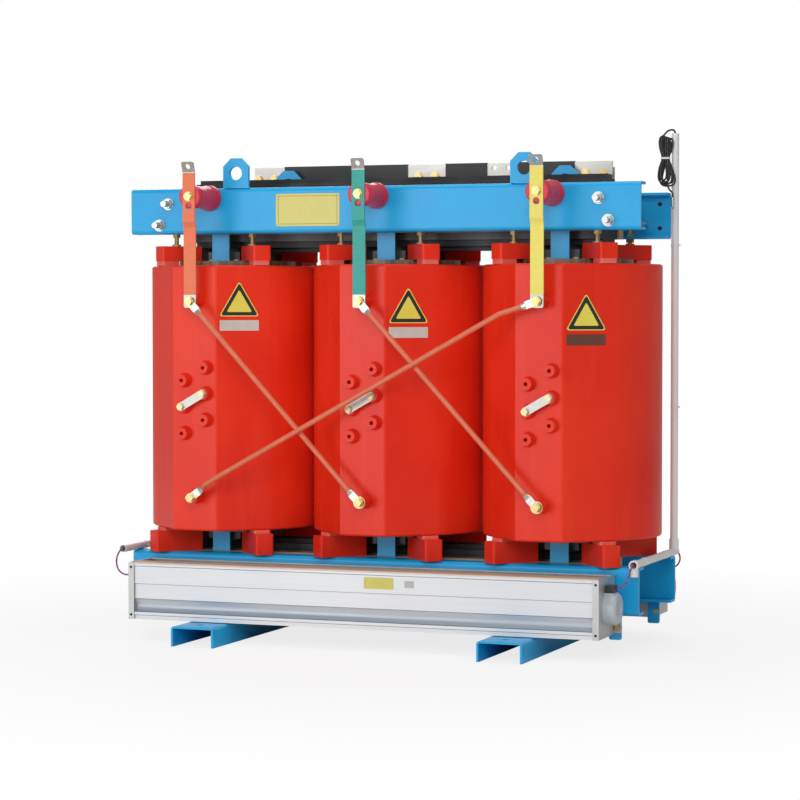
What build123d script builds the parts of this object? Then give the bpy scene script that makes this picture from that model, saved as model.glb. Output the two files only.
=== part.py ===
from build123d import *
import math
import os

# Three-phase cast-resin dry type transformer, in millimetres.
# X runs along the row of coils, Y from the high-voltage side (-) to the low-voltage side (+), Z up.
# The origin lies on the floor, under the axis of the middle coil.

# Row of phases
PHASE_PITCH = 480.0
PHASE_NAMES = ("a", "b", "c")
phase_x = {name: (i - 1) * PHASE_PITCH for i, name in enumerate(PHASE_NAMES)}

# Base rails: channel sections lying web up
RAIL_WIDTH = 120.0
RAIL_HEIGHT = 53.0
RAIL_WALL = 5.5
RAIL_LENGTH = 860.0
RAIL_X = 421.0
RAIL_HOLE_R = 9.0
FOOT_HEIGHT = 49.0
FOOT_WIDTH = 90.0
FOOT_PLATE = 8.0

# Yoke clamps: folded channels, web outwards
CLAMP_HEIGHT = 122.0
CLAMP_FLANGE = 47.0
CLAMP_WALL = 7.0
CLAMP_BEND = 11.0
CLAMP_FACE_Y = 183.0
UPPER_FRONT_HALF = 714.0
REAR_SHORT = 15.0
LOWER_PAST_AXIS = 232.0
REAR_DROP = 16.0
END_HOLE_R = 6.0
END_HOLE_IN = 29.0
lower_half = PHASE_PITCH + LOWER_PAST_AXIS
upper_rear_half = lower_half - REAR_SHORT

# Coil stack between the clamps
LOWER_BLOCK_H = 56.0
LOWER_PAD_H = 9.0
COIL_HEIGHT = 708.0
UPPER_PAD_H = 13.0
UPPER_BLOCK_H = 40.0
PRESSURE_GAP = 32.0
lower_clamp_z = RAIL_HEIGHT + FOOT_HEIGHT
lower_clamp_top = lower_clamp_z + CLAMP_HEIGHT
coil_z = lower_clamp_top + LOWER_BLOCK_H + LOWER_PAD_H
coil_top = coil_z + COIL_HEIGHT
block_z = coil_top + UPPER_PAD_H
block_top = block_z + UPPER_BLOCK_H
upper_clamp_z = block_top + PRESSURE_GAP
upper_clamp_top = upper_clamp_z + CLAMP_HEIGHT

# Laminated core: packets stepped inside a circle
CORE_RADIUS = 103.0
PACKET_Y = (30.0, 55.0, 75.0, 92.0)
WINDOW_OVER = 72.0
CORE_GAP = 5.0
window_height = COIL_HEIGHT + WINDOW_OVER
yoke_height = 2 * math.sqrt(CORE_RADIUS ** 2 - PACKET_Y[0] ** 2)
lower_yoke_z = RAIL_HEIGHT + CORE_GAP
window_z = lower_yoke_z + yoke_height
window_top = window_z + window_height
yoke_half = PHASE_PITCH + yoke_height / 2
core_side_y = PACKET_Y[-1]

# Tie plates, boards and packing around the core
TIE_WIDTH = 50.0
TIE_THICK = 6.0
TIE_Y = 108.0
BOARD_WIDTH = 12.0
BOARD_THICK = 3.0
BOARD_X = 37.0
TIE_MARGIN = 10.0
FIT = 0.3

# Coils
HV_RADIUS = 235.0
HV_BORE = 187.0
PANEL_Y = 263.0
PANEL_LEFT = -72.0
PANEL_RIGHT = 54.0
PANEL_FOLD = 12.0
COIL_EDGE = 6.0
LV_RADIUS = 160.0
LV_BORE = 118.0
DUCT = 8.0

# Support blocks, set at an angle to the row
BLOCK_ANGLE = 50.0
BLOCK_WIDTH = 50.0
BLOCK_INNER = 121.0
LOWER_BLOCK_OUTER = 257.0
UPPER_BLOCK_OUTER = 237.0
PRESSURE_X = 112.0
PRESSURE_Y = 155.0
PRESSURE_ROD_R = 6.0


def slab(x0, x1, y0, y1, z0, z1):
    """Rectangular piece between two corners."""
    box = Box(abs(x1 - x0), abs(y1 - y0), abs(z1 - z0))
    return Pos((x0 + x1) / 2, (y0 + y1) / 2, (z0 + z1) / 2) * box


def bar_y(x, y0, y1, z, radius):
    """Round bar along Y."""
    return Pos(x, (y0 + y1) / 2, z) * Rot(90, 0, 0) * Cylinder(radius, abs(y1 - y0))


def bar_x(x0, x1, y, z, radius):
    """Round bar along X."""
    return Pos((x0 + x1) / 2, y, z) * Rot(0, 90, 0) * Cylinder(radius, abs(x1 - x0))


def bar_z(x, y, z0, z1, radius):
    """Round bar along Z."""
    return Pos(x, y, (z0 + z1) / 2) * Cylinder(radius, abs(z1 - z0))


def hexagon_y(x, y0, y1, z, across):
    """Hexagonal prism along Y, given across its flats."""
    prism = extrude(RegularPolygon(across / 2, 6, major_radius=False), abs(y1 - y0) / 2, both=True)
    return Pos(x, (y0 + y1) / 2, z) * Rot(90, 0, 0) * prism


def hexagon_z(x, y, z0, z1, across):
    """Hexagonal prism along Z, given across its flats."""
    prism = extrude(RegularPolygon(across / 2, 6, major_radius=False), abs(z1 - z0) / 2, both=True)
    return Pos(x, y, (z0 + z1) / 2) * prism


def profile_x(outline, x0, x1):
    """Outline drawn in Y and Z, drawn out along X."""
    return Pos(x0, 0, 0) * extrude(Plane.YZ * outline, x1 - x0)


def mirrored(shapes, plane=Plane.XZ):
    """The same pieces on the other side of the core."""
    return [mirror(shape, plane) for shape in shapes]


def save(node, shapes):
    """One file for each named sub-part."""
    solids = [solid for shape in shapes for solid in shape.solids()]
    export_step(Compound(solids), "parts/" + node + ".step")


def bolt_y(x, face_y, z, size, depth, side=-1, washer=2.0):
    """Hex bolt with its washer; the head stands out of a face that looks to -Y or +Y."""
    head_y = face_y + side * washer
    head = hexagon_y(x, head_y, head_y + side * size * 0.65, z, size * 1.6)
    shank = bar_y(x, head_y, face_y - side * depth, z, size / 2)
    ring = bar_y(x, face_y, head_y, z, size * 1.05) - bar_y(x, face_y, head_y, z, size / 2 + FIT)
    return [head + shank, ring]


# ---- base rails and feet ----

def base_rail(x):
    outer = Pos(x, RAIL_HEIGHT / 2) * Rectangle(RAIL_WIDTH, RAIL_HEIGHT)
    outer = fillet(outer.vertices().group_by(Axis.Y)[-1], RAIL_WALL * 1.5)
    inner_height = RAIL_HEIGHT - RAIL_WALL
    inner = Pos(x, inner_height / 2) * Rectangle(RAIL_WIDTH - 2 * RAIL_WALL, inner_height)
    section = outer - inner
    rail = extrude(Plane.XZ * section, RAIL_LENGTH / 2, both=True)
    for end in (-1, 1):
        rail -= bar_z(x, end * (RAIL_LENGTH / 2 - RAIL_HEIGHT), 0, RAIL_HEIGHT + 1, RAIL_HOLE_R)
    return rail


def clamp_foot(x):
    """Short steel foot of I form between rail and lower clamp."""
    y_out = CLAMP_FACE_Y
    y_in = CLAMP_FACE_Y - CLAMP_FLANGE
    top = slab(x - FOOT_WIDTH / 2, x + FOOT_WIDTH / 2, -y_out, -y_in,
               lower_clamp_z - FOOT_PLATE, lower_clamp_z)
    base = Pos(0, 0, FOOT_PLATE - FOOT_HEIGHT) * top
    web = slab(x - FOOT_WIDTH / 2, x + FOOT_WIDTH / 2, -y_out + FOOT_PLATE, -y_out + 2 * FOOT_PLATE,
               RAIL_HEIGHT, lower_clamp_z)
    rib = slab(x - FOOT_PLATE / 2, x + FOOT_PLATE / 2, -y_out + FOOT_PLATE, -y_in,
               RAIL_HEIGHT, lower_clamp_z)
    return top + base + web + rib


# ---- core ----

def stepped_outline():
    """Section of the lamination stack: one rectangle for each packet."""
    outline = None
    for half_y in PACKET_Y:
        half_w = math.sqrt(CORE_RADIUS ** 2 - half_y ** 2)
        packet = Rectangle(2 * half_w, 2 * half_y)
        outline = packet if outline is None else outline + packet
    return outline


def core_limb(x):
    return Pos(x, 0, window_z) * extrude(stepped_outline(), window_height)


def core_yoke(z_bottom):
    outline = Plane.YZ * (Rot(0, 0, 90) * stepped_outline())
    yoke = extrude(outline, yoke_half, both=True)
    return Pos(0, 0, z_bottom + yoke_height / 2) * yoke


# ---- clamps ----

def clamp_channel(z_bottom, half_length):
    """Folded channel of the front side, flanges towards the core."""
    mid_y = -CLAMP_FACE_Y + CLAMP_FLANGE / 2
    mid_z = z_bottom + CLAMP_HEIGHT / 2
    outer = Rectangle(CLAMP_FLANGE, CLAMP_HEIGHT)
    outer = fillet(outer.vertices().group_by(Axis.X)[0], CLAMP_BEND)
    inner = Pos(CLAMP_WALL, 0) * Rectangle(CLAMP_FLANGE, CLAMP_HEIGHT - 2 * CLAMP_WALL)
    inner = fillet(inner.vertices().group_by(Axis.X)[0], CLAMP_BEND - CLAMP_WALL)
    section = Pos(mid_y, mid_z) * (outer - inner)
    return profile_x(section, -half_length, half_length)


# ---- clamp furniture ----

TIE_ROD_R = 8.0
TIE_ROD_PLACES = ((603.0, 33.0), (629.0, 90.0))
TIE_ROD_OUT = 34.0
LUG_WIDTH = 74.0
LUG_HEIGHT = 79.0
LUG_THICK = 9.0
LUG_X = 404.0
LUG_HOLE_R = 18.0
LUG_HOLE_UP = 39.0
LUG_CHAMFER = 22.0
upper_rear_z = upper_clamp_z - REAR_DROP
upper_rear_top = upper_clamp_top - REAR_DROP


def cut_upper_clamp(clamp, z_bottom, half_length, tie_top):
    """Holes for the tie rods, the pair of plain holes at each end, and the pressure bolts."""
    for side in (-1, 1):
        for rod_x, down in TIE_ROD_PLACES:
            clamp -= bar_y(side * rod_x, -CLAMP_FACE_Y - 1, -CLAMP_FACE_Y + CLAMP_FLANGE, tie_top - down,
                           TIE_ROD_R + FIT)
        for up in (END_HOLE_IN, CLAMP_HEIGHT - END_HOLE_IN):
            clamp -= bar_y(side * (half_length - END_HOLE_IN), -CLAMP_FACE_Y - 1,
                           -CLAMP_FACE_Y + CLAMP_WALL + 1, z_bottom + up, END_HOLE_R)
    for x in phase_x.values():
        for side in (-1, 1):
            clamp -= bar_z(x + side * PRESSURE_X, -PRESSURE_Y, z_bottom - 1, z_bottom + CLAMP_WALL + 1,
                           PRESSURE_ROD_R + FIT)
    return clamp


def clamp_tie_rods(tie_top):
    """Threaded rods that pull the two clamps together, each with a nut and washer at both ends."""
    pieces = []
    nut = TIE_ROD_R * 1.3
    for side in (-1, 1):
        for rod_x, down in TIE_ROD_PLACES:
            x = side * rod_x
            z = tie_top - down
            pieces.append(bar_y(x, -CLAMP_FACE_Y - TIE_ROD_OUT, CLAMP_FACE_Y + TIE_ROD_OUT, z, TIE_ROD_R))
            for end in (-1, 1):
                face = end * CLAMP_FACE_Y
                washer_y = face + end * 3
                washer = bar_y(x, face, washer_y, z, 2 * TIE_ROD_R)
                hexagon = hexagon_y(x, washer_y, washer_y + end * nut, z, 3 * TIE_ROD_R)
                bore = bar_y(x, face, washer_y + end * (nut + 1), z, TIE_ROD_R + FIT / 2)
                pieces.append(washer - bore)
                pieces.append(hexagon - bore)
    return pieces


def lifting_lug(x, z_bottom):
    """Flat eye standing on the clamp's top edge, in the plane of its web."""
    plate = Pos(x, LUG_HEIGHT / 2) * Rectangle(LUG_WIDTH, LUG_HEIGHT)
    plate = chamfer(plate.vertices().group_by(Axis.Y)[-1], LUG_CHAMFER)
    plate -= Pos(x, LUG_HOLE_UP) * Circle(LUG_HOLE_R)
    solid = extrude(Plane.XZ * plate, LUG_THICK)
    return Pos(0, -CLAMP_FACE_Y + LUG_THICK, z_bottom) * solid


def tie_plates():
    """Flat steel bars in front of and behind each limb that hold the clamps against lifting."""
    bars = []
    for x in phase_x.values():
        for side, top in ((-1, upper_clamp_top), (1, upper_rear_top)):
            bars.append(slab(x - TIE_WIDTH / 2, x + TIE_WIDTH / 2, side * TIE_Y, side * (TIE_Y + TIE_THICK),
                             lower_clamp_z + TIE_MARGIN, top - TIE_MARGIN))
    return bars


def limb_boards():
    """Insulating board strips beside the tie plates, on the limb's outer packet."""
    margin = 2 * TIE_MARGIN
    boards = []
    for x in phase_x.values():
        for side in (-1, 1):
            for edge in (-1, 1):
                mid = x + edge * BOARD_X
                boards.append(slab(mid - BOARD_WIDTH / 2, mid + BOARD_WIDTH / 2, side * core_side_y,
                                   side * (core_side_y + BOARD_THICK), window_z + margin, window_top - margin))
    return boards


def yoke_packing(side, z_bottom):
    """Laminated wood beam between the yoke's side and the clamp's flanges, slotted for the tie plates."""
    beam = slab(-yoke_half, yoke_half, side * core_side_y, side * (CLAMP_FACE_Y - CLAMP_FLANGE),
                z_bottom, z_bottom + CLAMP_HEIGHT)
    for x in phase_x.values():
        half = TIE_WIDTH / 2 + FIT
        beam -= slab(x - half, x + half, side * (TIE_Y - FIT), side * (TIE_Y + TIE_THICK + FIT),
                     z_bottom - 1, z_bottom + CLAMP_HEIGHT + 1)
    return beam


# ---- coils and what holds them ----

TERMINAL_R = 18.0
TERMINAL_Y = 307.0
TERMINAL_TOP_Z = 900.0
TERMINAL_LOW_Z = 381.0
BOLT_SIZE = 12.0
BOLT_DEPTH = 22.0
TAP_BASE_R = 20.0
TAP_FACE_R = 15.0
TAP_OUT = 25.0
TAP_BOLT = 10.0
TAP_PLACES = ((-37.0, 691.0), (-37.0, 621.0), (-37.0, 550.0), (25.0, 725.0), (25.0, 656.0), (25.0, 586.0))
LINKED_TAPS = (TAP_PLACES[1], TAP_PLACES[4])
LINK_WIDTH = 22.0
LINK_THICK = 3.0


def coil_outline():
    """Round coil with a flat terminal panel, joined by tangent flats."""
    corners = [(PANEL_LEFT, -PANEL_Y), (PANEL_RIGHT, -PANEL_Y)]
    tangents = []
    for (px, py), turn in zip(corners, (-1, 1)):
        away = math.atan2(py, px)
        angle = away + turn * math.acos(HV_RADIUS / math.hypot(px, py))
        tangents.append((HV_RADIUS * math.cos(angle), HV_RADIUS * math.sin(angle)))
    round_side = ThreePointArc(tangents[1], (0, HV_RADIUS), tangents[0])
    flats = Polyline(tangents[0], corners[0], corners[1], tangents[1])
    return make_face([round_side, flats])


def hv_coil(x):
    """Cast-resin high-voltage coil with its terminal and tap bosses in one casting."""
    body = extrude(coil_outline(), COIL_HEIGHT)
    fold = body.edges().filter_by(Axis.Z).sort_by(Axis.Y)[:2].sort_by(Axis.X)[-1]
    body = fillet(fold, PANEL_FOLD)
    rims = body.faces().filter_by(Axis.Z).edges()
    body = fillet(rims, COIL_EDGE)
    body -= Pos(0, 0, COIL_HEIGHT / 2) * Cylinder(HV_BORE, COIL_HEIGHT + 2)
    body = Pos(x, 0, coil_z) * body
    for z in (TERMINAL_TOP_Z, TERMINAL_LOW_Z):
        body += bar_y(x, -TERMINAL_Y, -PANEL_Y + 1, z, TERMINAL_R)
        body -= bar_y(x, -TERMINAL_Y - 1, -TERMINAL_Y + BOLT_DEPTH + 2, z, BOLT_SIZE / 2 + FIT)
    for dx, z in TAP_PLACES:
        cone = Rot(90, 0, 0) * Cone(TAP_BASE_R, TAP_FACE_R, TAP_OUT + 1)
        body += Pos(x + dx, -PANEL_Y - (TAP_OUT - 1) / 2, z) * cone
        body -= bar_y(x + dx, -PANEL_Y - TAP_OUT - 1, -PANEL_Y, z, TAP_BOLT / 2 + FIT)
    return body


def lv_coil(x):
    """Foil-wound low-voltage coil: two layers round a cooling duct bridged by spacers."""
    bottom = lower_clamp_top + LOWER_BLOCK_H
    height = block_z - bottom
    middle = (LV_RADIUS + LV_BORE) / 2
    ring = Circle(LV_RADIUS) - Circle(LV_BORE)
    duct = Circle(middle + DUCT / 2) - Circle(middle - DUCT / 2)
    spacers = PolarLocations(middle, 12) * Rectangle(DUCT * 1.5, DUCT)
    section = ring - (duct - spacers)
    return Pos(x, 0, bottom) * extrude(section, height)


def radial_bar(inner, outer, z_bottom, height, width):
    """Bars along the four block directions round a coil, with rounded outer ends."""
    bars = []
    for turn in (BLOCK_ANGLE, 180 - BLOCK_ANGLE, 180 + BLOCK_ANGLE, 360 - BLOCK_ANGLE):
        bar = slab(inner, outer, -width / 2, width / 2, z_bottom, z_bottom + height)
        bar = fillet(bar.edges().filter_by(Axis.Z).group_by(Axis.X)[-1], width / 8)
        bars.append(Rot(0, 0, turn) * bar)
    return bars


def coil_supports():
    """Resin blocks under and over each coil, with elastic pads between block and coil."""
    lower = radial_bar(BLOCK_INNER, LOWER_BLOCK_OUTER, lower_clamp_top, LOWER_BLOCK_H, BLOCK_WIDTH)
    upper = radial_bar(BLOCK_INNER, UPPER_BLOCK_OUTER, block_z, UPPER_BLOCK_H, BLOCK_WIDTH)
    pads = radial_bar(HV_BORE, HV_RADIUS, coil_z - LOWER_PAD_H, LOWER_PAD_H, BLOCK_WIDTH - 4)
    pads += radial_bar(HV_BORE, HV_RADIUS, coil_top, UPPER_PAD_H, BLOCK_WIDTH - 4)
    places = [Pos(x, 0, 0) for x in phase_x.values()]
    return [[place * bar for place in places for bar in bars] for bars in (lower, upper, pads)]


def pressure_bolts(side, flange_z):
    """Screw with a foot on the block and a nut on each face of the clamp's lower flange."""
    pieces = []
    across = PRESSURE_ROD_R * 3.2
    nut = PRESSURE_ROD_R * 1.5
    for x in phase_x.values():
        for edge in (-1, 1):
            px = x + edge * PRESSURE_X
            py = side * PRESSURE_Y
            rod = bar_z(px, py, block_top, flange_z + CLAMP_WALL + 2 * nut, PRESSURE_ROD_R)
            foot = bar_z(px, py, block_top, block_top + nut / 2, 2 * PRESSURE_ROD_R)
            bore = bar_z(px, py, block_top, flange_z + 3 * nut, PRESSURE_ROD_R + FIT / 2)
            upper_z = flange_z + CLAMP_WALL
            pieces.append(rod + foot)
            if flange_z - nut > block_top + nut / 2:
                pieces.append(hexagon_z(px, py, flange_z - nut, flange_z, across) - bore)
            pieces.append(hexagon_z(px, py, upper_z, upper_z + nut, across) - bore)
    return pieces


# ---- high-voltage connections ----

POST_BASE_R = 34.0
POST_FACE_R = 31.0
POST_LENGTH = 130.0
POST_GROOVE = 3.0
POST_DOWN = 27.0
STRIP_WIDTH = 35.0
STRIP_THICK = 4.0
STRIP_LOW_Z = 884.0
STRIP_JOGGLE_DOWN = (109.0, 94.0)
STRIP_BEND_UP = 37.0
STRIP_TOP_UP = 64.0
strip_bend_z = upper_clamp_top + STRIP_BEND_UP
strip_top_z = upper_clamp_top + STRIP_TOP_UP
joggle_low_z, joggle_high_z = (upper_clamp_top - down for down in STRIP_JOGGLE_DOWN)
STRIP_LEAN = 20.0
STRIP_EYE_R = 7.0
STRIP_SLOT_R = 9.0
STRIP_SLOT_DOWN = 25.0
ROD_R = 7.0
ROD_LUG_WIDTH = 20.0
ROD_LUG_LENGTH = 30.0
ROD_NECK = 16.0
CROSS_ROD_OUT = 27.0
CROSS_RUN = 92.0
CROSS_DROP = 32.0
CROSS_LOW_RUN = 50.0
CROSS_LOW_RISE = 37.0
post_z = upper_clamp_top - POST_DOWN
post_y = -CLAMP_FACE_Y - POST_LENGTH
strip_eye_z = (strip_bend_z + strip_top_z) / 2 + 1
lean_slope = math.tan(math.radians(STRIP_LEAN))


def post_insulator(x):
    """Cast post: waisted body with a collar, a groove and a threaded insert in its face."""
    outline = Polyline(
        (0, 0), (POST_BASE_R, 0), (POST_BASE_R, POST_LENGTH * 0.12), (POST_FACE_R, POST_LENGTH * 0.2),
        (POST_FACE_R - 2, POST_LENGTH * 0.5), (POST_FACE_R, POST_LENGTH * 0.82),
        (POST_FACE_R - POST_GROOVE, POST_LENGTH * 0.84), (POST_FACE_R - POST_GROOVE, POST_LENGTH * 0.88),
        (POST_FACE_R, POST_LENGTH * 0.9), (POST_FACE_R, POST_LENGTH - 3), (POST_FACE_R - 3, POST_LENGTH),
        (0, POST_LENGTH), close=True)
    body = revolve(make_face(outline), Axis.Y)
    body = Pos(x, -CLAMP_FACE_Y, post_z) * Rot(180, 0, 0) * body
    return body - bar_y(x, post_y - 1, post_y + BOLT_DEPTH + 2, post_z, BOLT_SIZE / 2 + FIT)


def hv_strip(x):
    """Flat copper strip from the coil's top terminal, over the post, to the leaning line terminal."""
    low_y = -TERMINAL_Y
    tip_y = post_y - (strip_top_z - strip_bend_z) * lean_slope
    back = [(low_y, STRIP_LOW_Z), (low_y, joggle_low_z), (post_y, joggle_high_z),
            (post_y, strip_bend_z), (tip_y, strip_top_z)]
    front = [(y - STRIP_THICK, z) for y, z in reversed(back)]
    half = STRIP_WIDTH / 2
    strip = profile_x(make_face(Polyline(*back, *front, close=True)), x - half, x + half)
    corners = strip.edges().filter_by(Axis.Y).sort_by(Axis.Z)
    strip = fillet(corners[:2] + corners[-2:], 5)
    strip -= bar_y(x, low_y - 5, low_y + 1, TERMINAL_TOP_Z, BOLT_SIZE / 2 + FIT)
    strip -= bar_y(x, post_y - 5, post_y + 1, post_z, BOLT_SIZE / 2 + FIT)
    strip -= bar_y(x, post_y - 5, post_y + 1, post_z - STRIP_SLOT_DOWN, STRIP_SLOT_R)
    eye_y = post_y - STRIP_THICK / 2 - (strip_eye_z - strip_bend_z) * lean_slope
    eye = Pos(x, eye_y, strip_eye_z) * Rot(90 + STRIP_LEAN, 0, 0) * Cylinder(STRIP_EYE_R, 30)
    return strip - eye


def rod_lug(tip, toward):
    """Flattened, drilled rod end lying in the XZ plane, with the neck that swells to the round rod."""
    angle = math.degrees(math.atan2(toward[2] - tip[2], toward[0] - tip[0]))
    end_r = ROD_LUG_WIDTH / 2
    flat = Pos(ROD_LUG_LENGTH / 2, 0) * Rectangle(ROD_LUG_LENGTH, ROD_LUG_WIDTH) + Circle(end_r)
    plate = extrude(flat, STRIP_THICK / 2, both=True) - Cylinder(BOLT_SIZE / 2 + FIT, 2 * STRIP_THICK)
    start = Plane(origin=(ROD_LUG_LENGTH, 0, 0), x_dir=(0, 1, 0), z_dir=(1, 0, 0))
    neck = loft([start * RectangleRounded(ROD_LUG_WIDTH, STRIP_THICK, 1.5),
                 start.offset(ROD_NECK) * Circle(ROD_R)])
    return Pos(*tip) * Rot(90, 0, 0) * Rot(0, 0, angle) * (plate + neck)


def delta_rod(places, bends=()):
    """Sleeved round rod between two terminals; its lugs lie flat on what the terminals carry."""
    route = [places[0], *bends, places[1]]
    solid = rod_lug(route[0], route[1]) + rod_lug(route[-1], route[-2])
    starts = []
    for tip, toward in ((route[0], route[1]), (route[-1], route[-2])):
        flat = Vector(toward[0] - tip[0], 0, toward[2] - tip[2]).normalized()
        starts.append(Vector(*tip) + flat * (ROD_LUG_LENGTH + ROD_NECK))
    if bends:
        path = FilletPolyline(starts[0], *[Vector(*bend) for bend in bends], starts[1], radius=30)
    else:
        path = Line(starts[0], starts[1])
    section = Plane(origin=path @ 0, z_dir=path % 0) * Circle(ROD_R)
    return solid + sweep(section, path=path)


def delta_rods():
    """Three rods that close the delta: A-B, B-C, and C-A, which passes in front of the others."""
    on_strip = -TERMINAL_Y - STRIP_THICK * 1.5
    on_boss = -TERMINAL_Y - STRIP_THICK / 2
    a, b, c = (phase_x[name] for name in PHASE_NAMES)
    rods = {}
    rods["delta_rod_ab"] = delta_rod(((a, on_strip, TERMINAL_TOP_Z), (b, on_strip, TERMINAL_LOW_Z)))
    rods["delta_rod_bc"] = delta_rod(((b, on_strip, TERMINAL_TOP_Z), (c, on_strip, TERMINAL_LOW_Z)))
    out_y = -TERMINAL_Y - CROSS_ROD_OUT
    bends = ((c - CROSS_RUN, out_y, TERMINAL_TOP_Z - CROSS_DROP),
             (a + CROSS_LOW_RUN, out_y, TERMINAL_LOW_Z + CROSS_LOW_RISE))
    rods["delta_rod_ca"] = delta_rod(((c, on_strip, TERMINAL_TOP_Z), (a, on_boss, TERMINAL_LOW_Z)), bends)
    return rods


def hv_bolts():
    """Bolts at the posts and terminals, with the spacers that stand in for a strip below a lug."""
    pieces = []
    for name, x in phase_x.items():
        pieces += bolt_y(x, post_y - STRIP_THICK, post_z, BOLT_SIZE, BOLT_DEPTH - STRIP_THICK)
        top_face = -TERMINAL_Y - 2 * STRIP_THICK
        low_face = -TERMINAL_Y - STRIP_THICK
        if name != "a":
            low_face -= STRIP_THICK
            spacer = bar_y(x, -TERMINAL_Y, -TERMINAL_Y - STRIP_THICK, TERMINAL_LOW_Z, TERMINAL_R - 2)
            spacer -= bar_y(x, -TERMINAL_Y + 1, -TERMINAL_Y - 9, TERMINAL_LOW_Z, BOLT_SIZE / 2 + FIT)
            pieces.append(spacer)
        pieces += bolt_y(x, top_face, TERMINAL_TOP_Z, BOLT_SIZE, BOLT_DEPTH)
        pieces += bolt_y(x, low_face, TERMINAL_LOW_Z, BOLT_SIZE, BOLT_DEPTH)
    return pieces


def tap_links(x):
    """Drilled link between two taps, bolted flat on their faces."""
    face = -PANEL_Y - TAP_OUT
    (x0, z0), (x1, z1) = LINKED_TAPS
    length = math.hypot(x1 - x0, z1 - z0)
    angle = math.degrees(math.atan2(z1 - z0, x1 - x0))
    outline = SlotCenterToCenter(length, LINK_WIDTH)
    for end in (-1, 1):
        outline -= Pos(end * length / 2, 0) * Circle(TAP_BOLT / 2 + FIT)
    link = Rot(90, 0, 0) * Rot(0, 0, angle) * extrude(outline, LINK_THICK / 2, both=True)
    pieces = [Pos(x + (x0 + x1) / 2, face - LINK_THICK / 2, (z0 + z1) / 2) * link]
    for dx, z in LINKED_TAPS:
        pieces += bolt_y(x + dx, face - LINK_THICK, z, TAP_BOLT, TAP_OUT - 4)
    return pieces


# ---- low-voltage side ----

BUS_THICK = 6.0
BUS_Y = 200.0
BUS_UP = 9.0
BUS_HEIGHT = 65.0
BUS_LEFT = -509.0
BUS_RIGHT = 530.0
BUS_PAD_HALF = 55.0
SLEEVE_THICK = 1.5
LEAD_HALF = 40.0
LEAD_RISE = 18.0
LEAD_ROOT_Y = 122.0
PHASE_THICK = 8.0
PHASE_BACK_Y = 251.0
PHASE_ROOT_Y = 147.0
PHASE_RISE = 2.0
PHASE_UP = 60.0
LV_BOLT = 12.0
LV_BOLT_X = 24.0
TERMINAL_PITCH = 40.0
TERMINAL_HOLE_R = 6.5
NEUTRAL_PAD_X = 216.0
bus_bottom = upper_clamp_top + BUS_UP
bus_top = bus_bottom + BUS_HEIGHT
lead_z = block_z + LEAD_RISE
phase_z = block_z + PHASE_RISE
phase_top = upper_clamp_top + PHASE_UP
lv_bolt_z = (bus_bottom + bus_top) / 2


def folded_bar(root_y, shelf_z, back_y, top_z, thick, x):
    """Flat bar welded to the low-voltage foil: a short riser, a shelf over the coil, a tall upright."""
    outline = Polyline((root_y, block_z), (root_y + thick, block_z), (root_y + thick, shelf_z),
                       (back_y + thick, shelf_z), (back_y + thick, top_z), (back_y, top_z),
                       (back_y, shelf_z + thick), (root_y, shelf_z + thick), close=True)
    bar = profile_x(make_face(outline), x - LEAD_HALF, x + LEAD_HALF)
    corner = bar.edges().filter_by(Axis.X).group_by(Axis.Y)[-1].sort_by(Axis.Z)[0]
    return fillet(corner, thick)


def neutral_lead(x):
    lead = folded_bar(LEAD_ROOT_Y, lead_z, BUS_Y + BUS_THICK, bus_top, BUS_THICK, x)
    for side in (-1, 1):
        lead -= bar_y(x + side * LV_BOLT_X, BUS_Y, BUS_Y + 3 * BUS_THICK, lv_bolt_z, LV_BOLT / 2 + FIT)
    return lead


def hole_square(x, y0, y1, z):
    """Four holes of a busbar terminal."""
    holes = []
    for dx in (-TERMINAL_PITCH / 2, TERMINAL_PITCH / 2):
        for dz in (-TERMINAL_PITCH / 2, TERMINAL_PITCH / 2):
            holes.append(bar_y(x + dx, y0, y1, z + dz, TERMINAL_HOLE_R))
    return holes


def phase_bar(x):
    bar = folded_bar(PHASE_ROOT_Y, phase_z, PHASE_BACK_Y, phase_top, PHASE_THICK, x)
    return bar - hole_square(x, PHASE_BACK_Y - 1, PHASE_BACK_Y + PHASE_THICK + 1, phase_top - TERMINAL_PITCH)


def neutral_bus():
    bus = slab(BUS_LEFT, BUS_RIGHT, BUS_Y, BUS_Y + BUS_THICK, bus_bottom, bus_top)
    for x in phase_x.values():
        for side in (-1, 1):
            bus -= bar_y(x + side * LV_BOLT_X, BUS_Y - 1, BUS_Y + BUS_THICK + 1, lv_bolt_z, LV_BOLT / 2 + FIT)
    return bus - hole_square(NEUTRAL_PAD_X, BUS_Y - 1, BUS_Y + BUS_THICK + 1, lv_bolt_z)


def bus_sleeves():
    """Shrunk black sleeve on the covered stretches of the neutral bus."""
    a, b, c = phase_x.values()
    spans = ((a + BUS_PAD_HALF, b - BUS_PAD_HALF), (b + BUS_PAD_HALF, NEUTRAL_PAD_X - TERMINAL_PITCH),
             (NEUTRAL_PAD_X + TERMINAL_PITCH, c - BUS_PAD_HALF))
    sleeves = []
    for x0, x1 in spans:
        outer = slab(x0, x1, BUS_Y - SLEEVE_THICK, BUS_Y + BUS_THICK + SLEEVE_THICK,
                     bus_bottom - SLEEVE_THICK, bus_top + SLEEVE_THICK)
        sleeves.append(outer - slab(x0 - 1, x1 + 1, BUS_Y, BUS_Y + BUS_THICK, bus_bottom, bus_top))
    return sleeves


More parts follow.
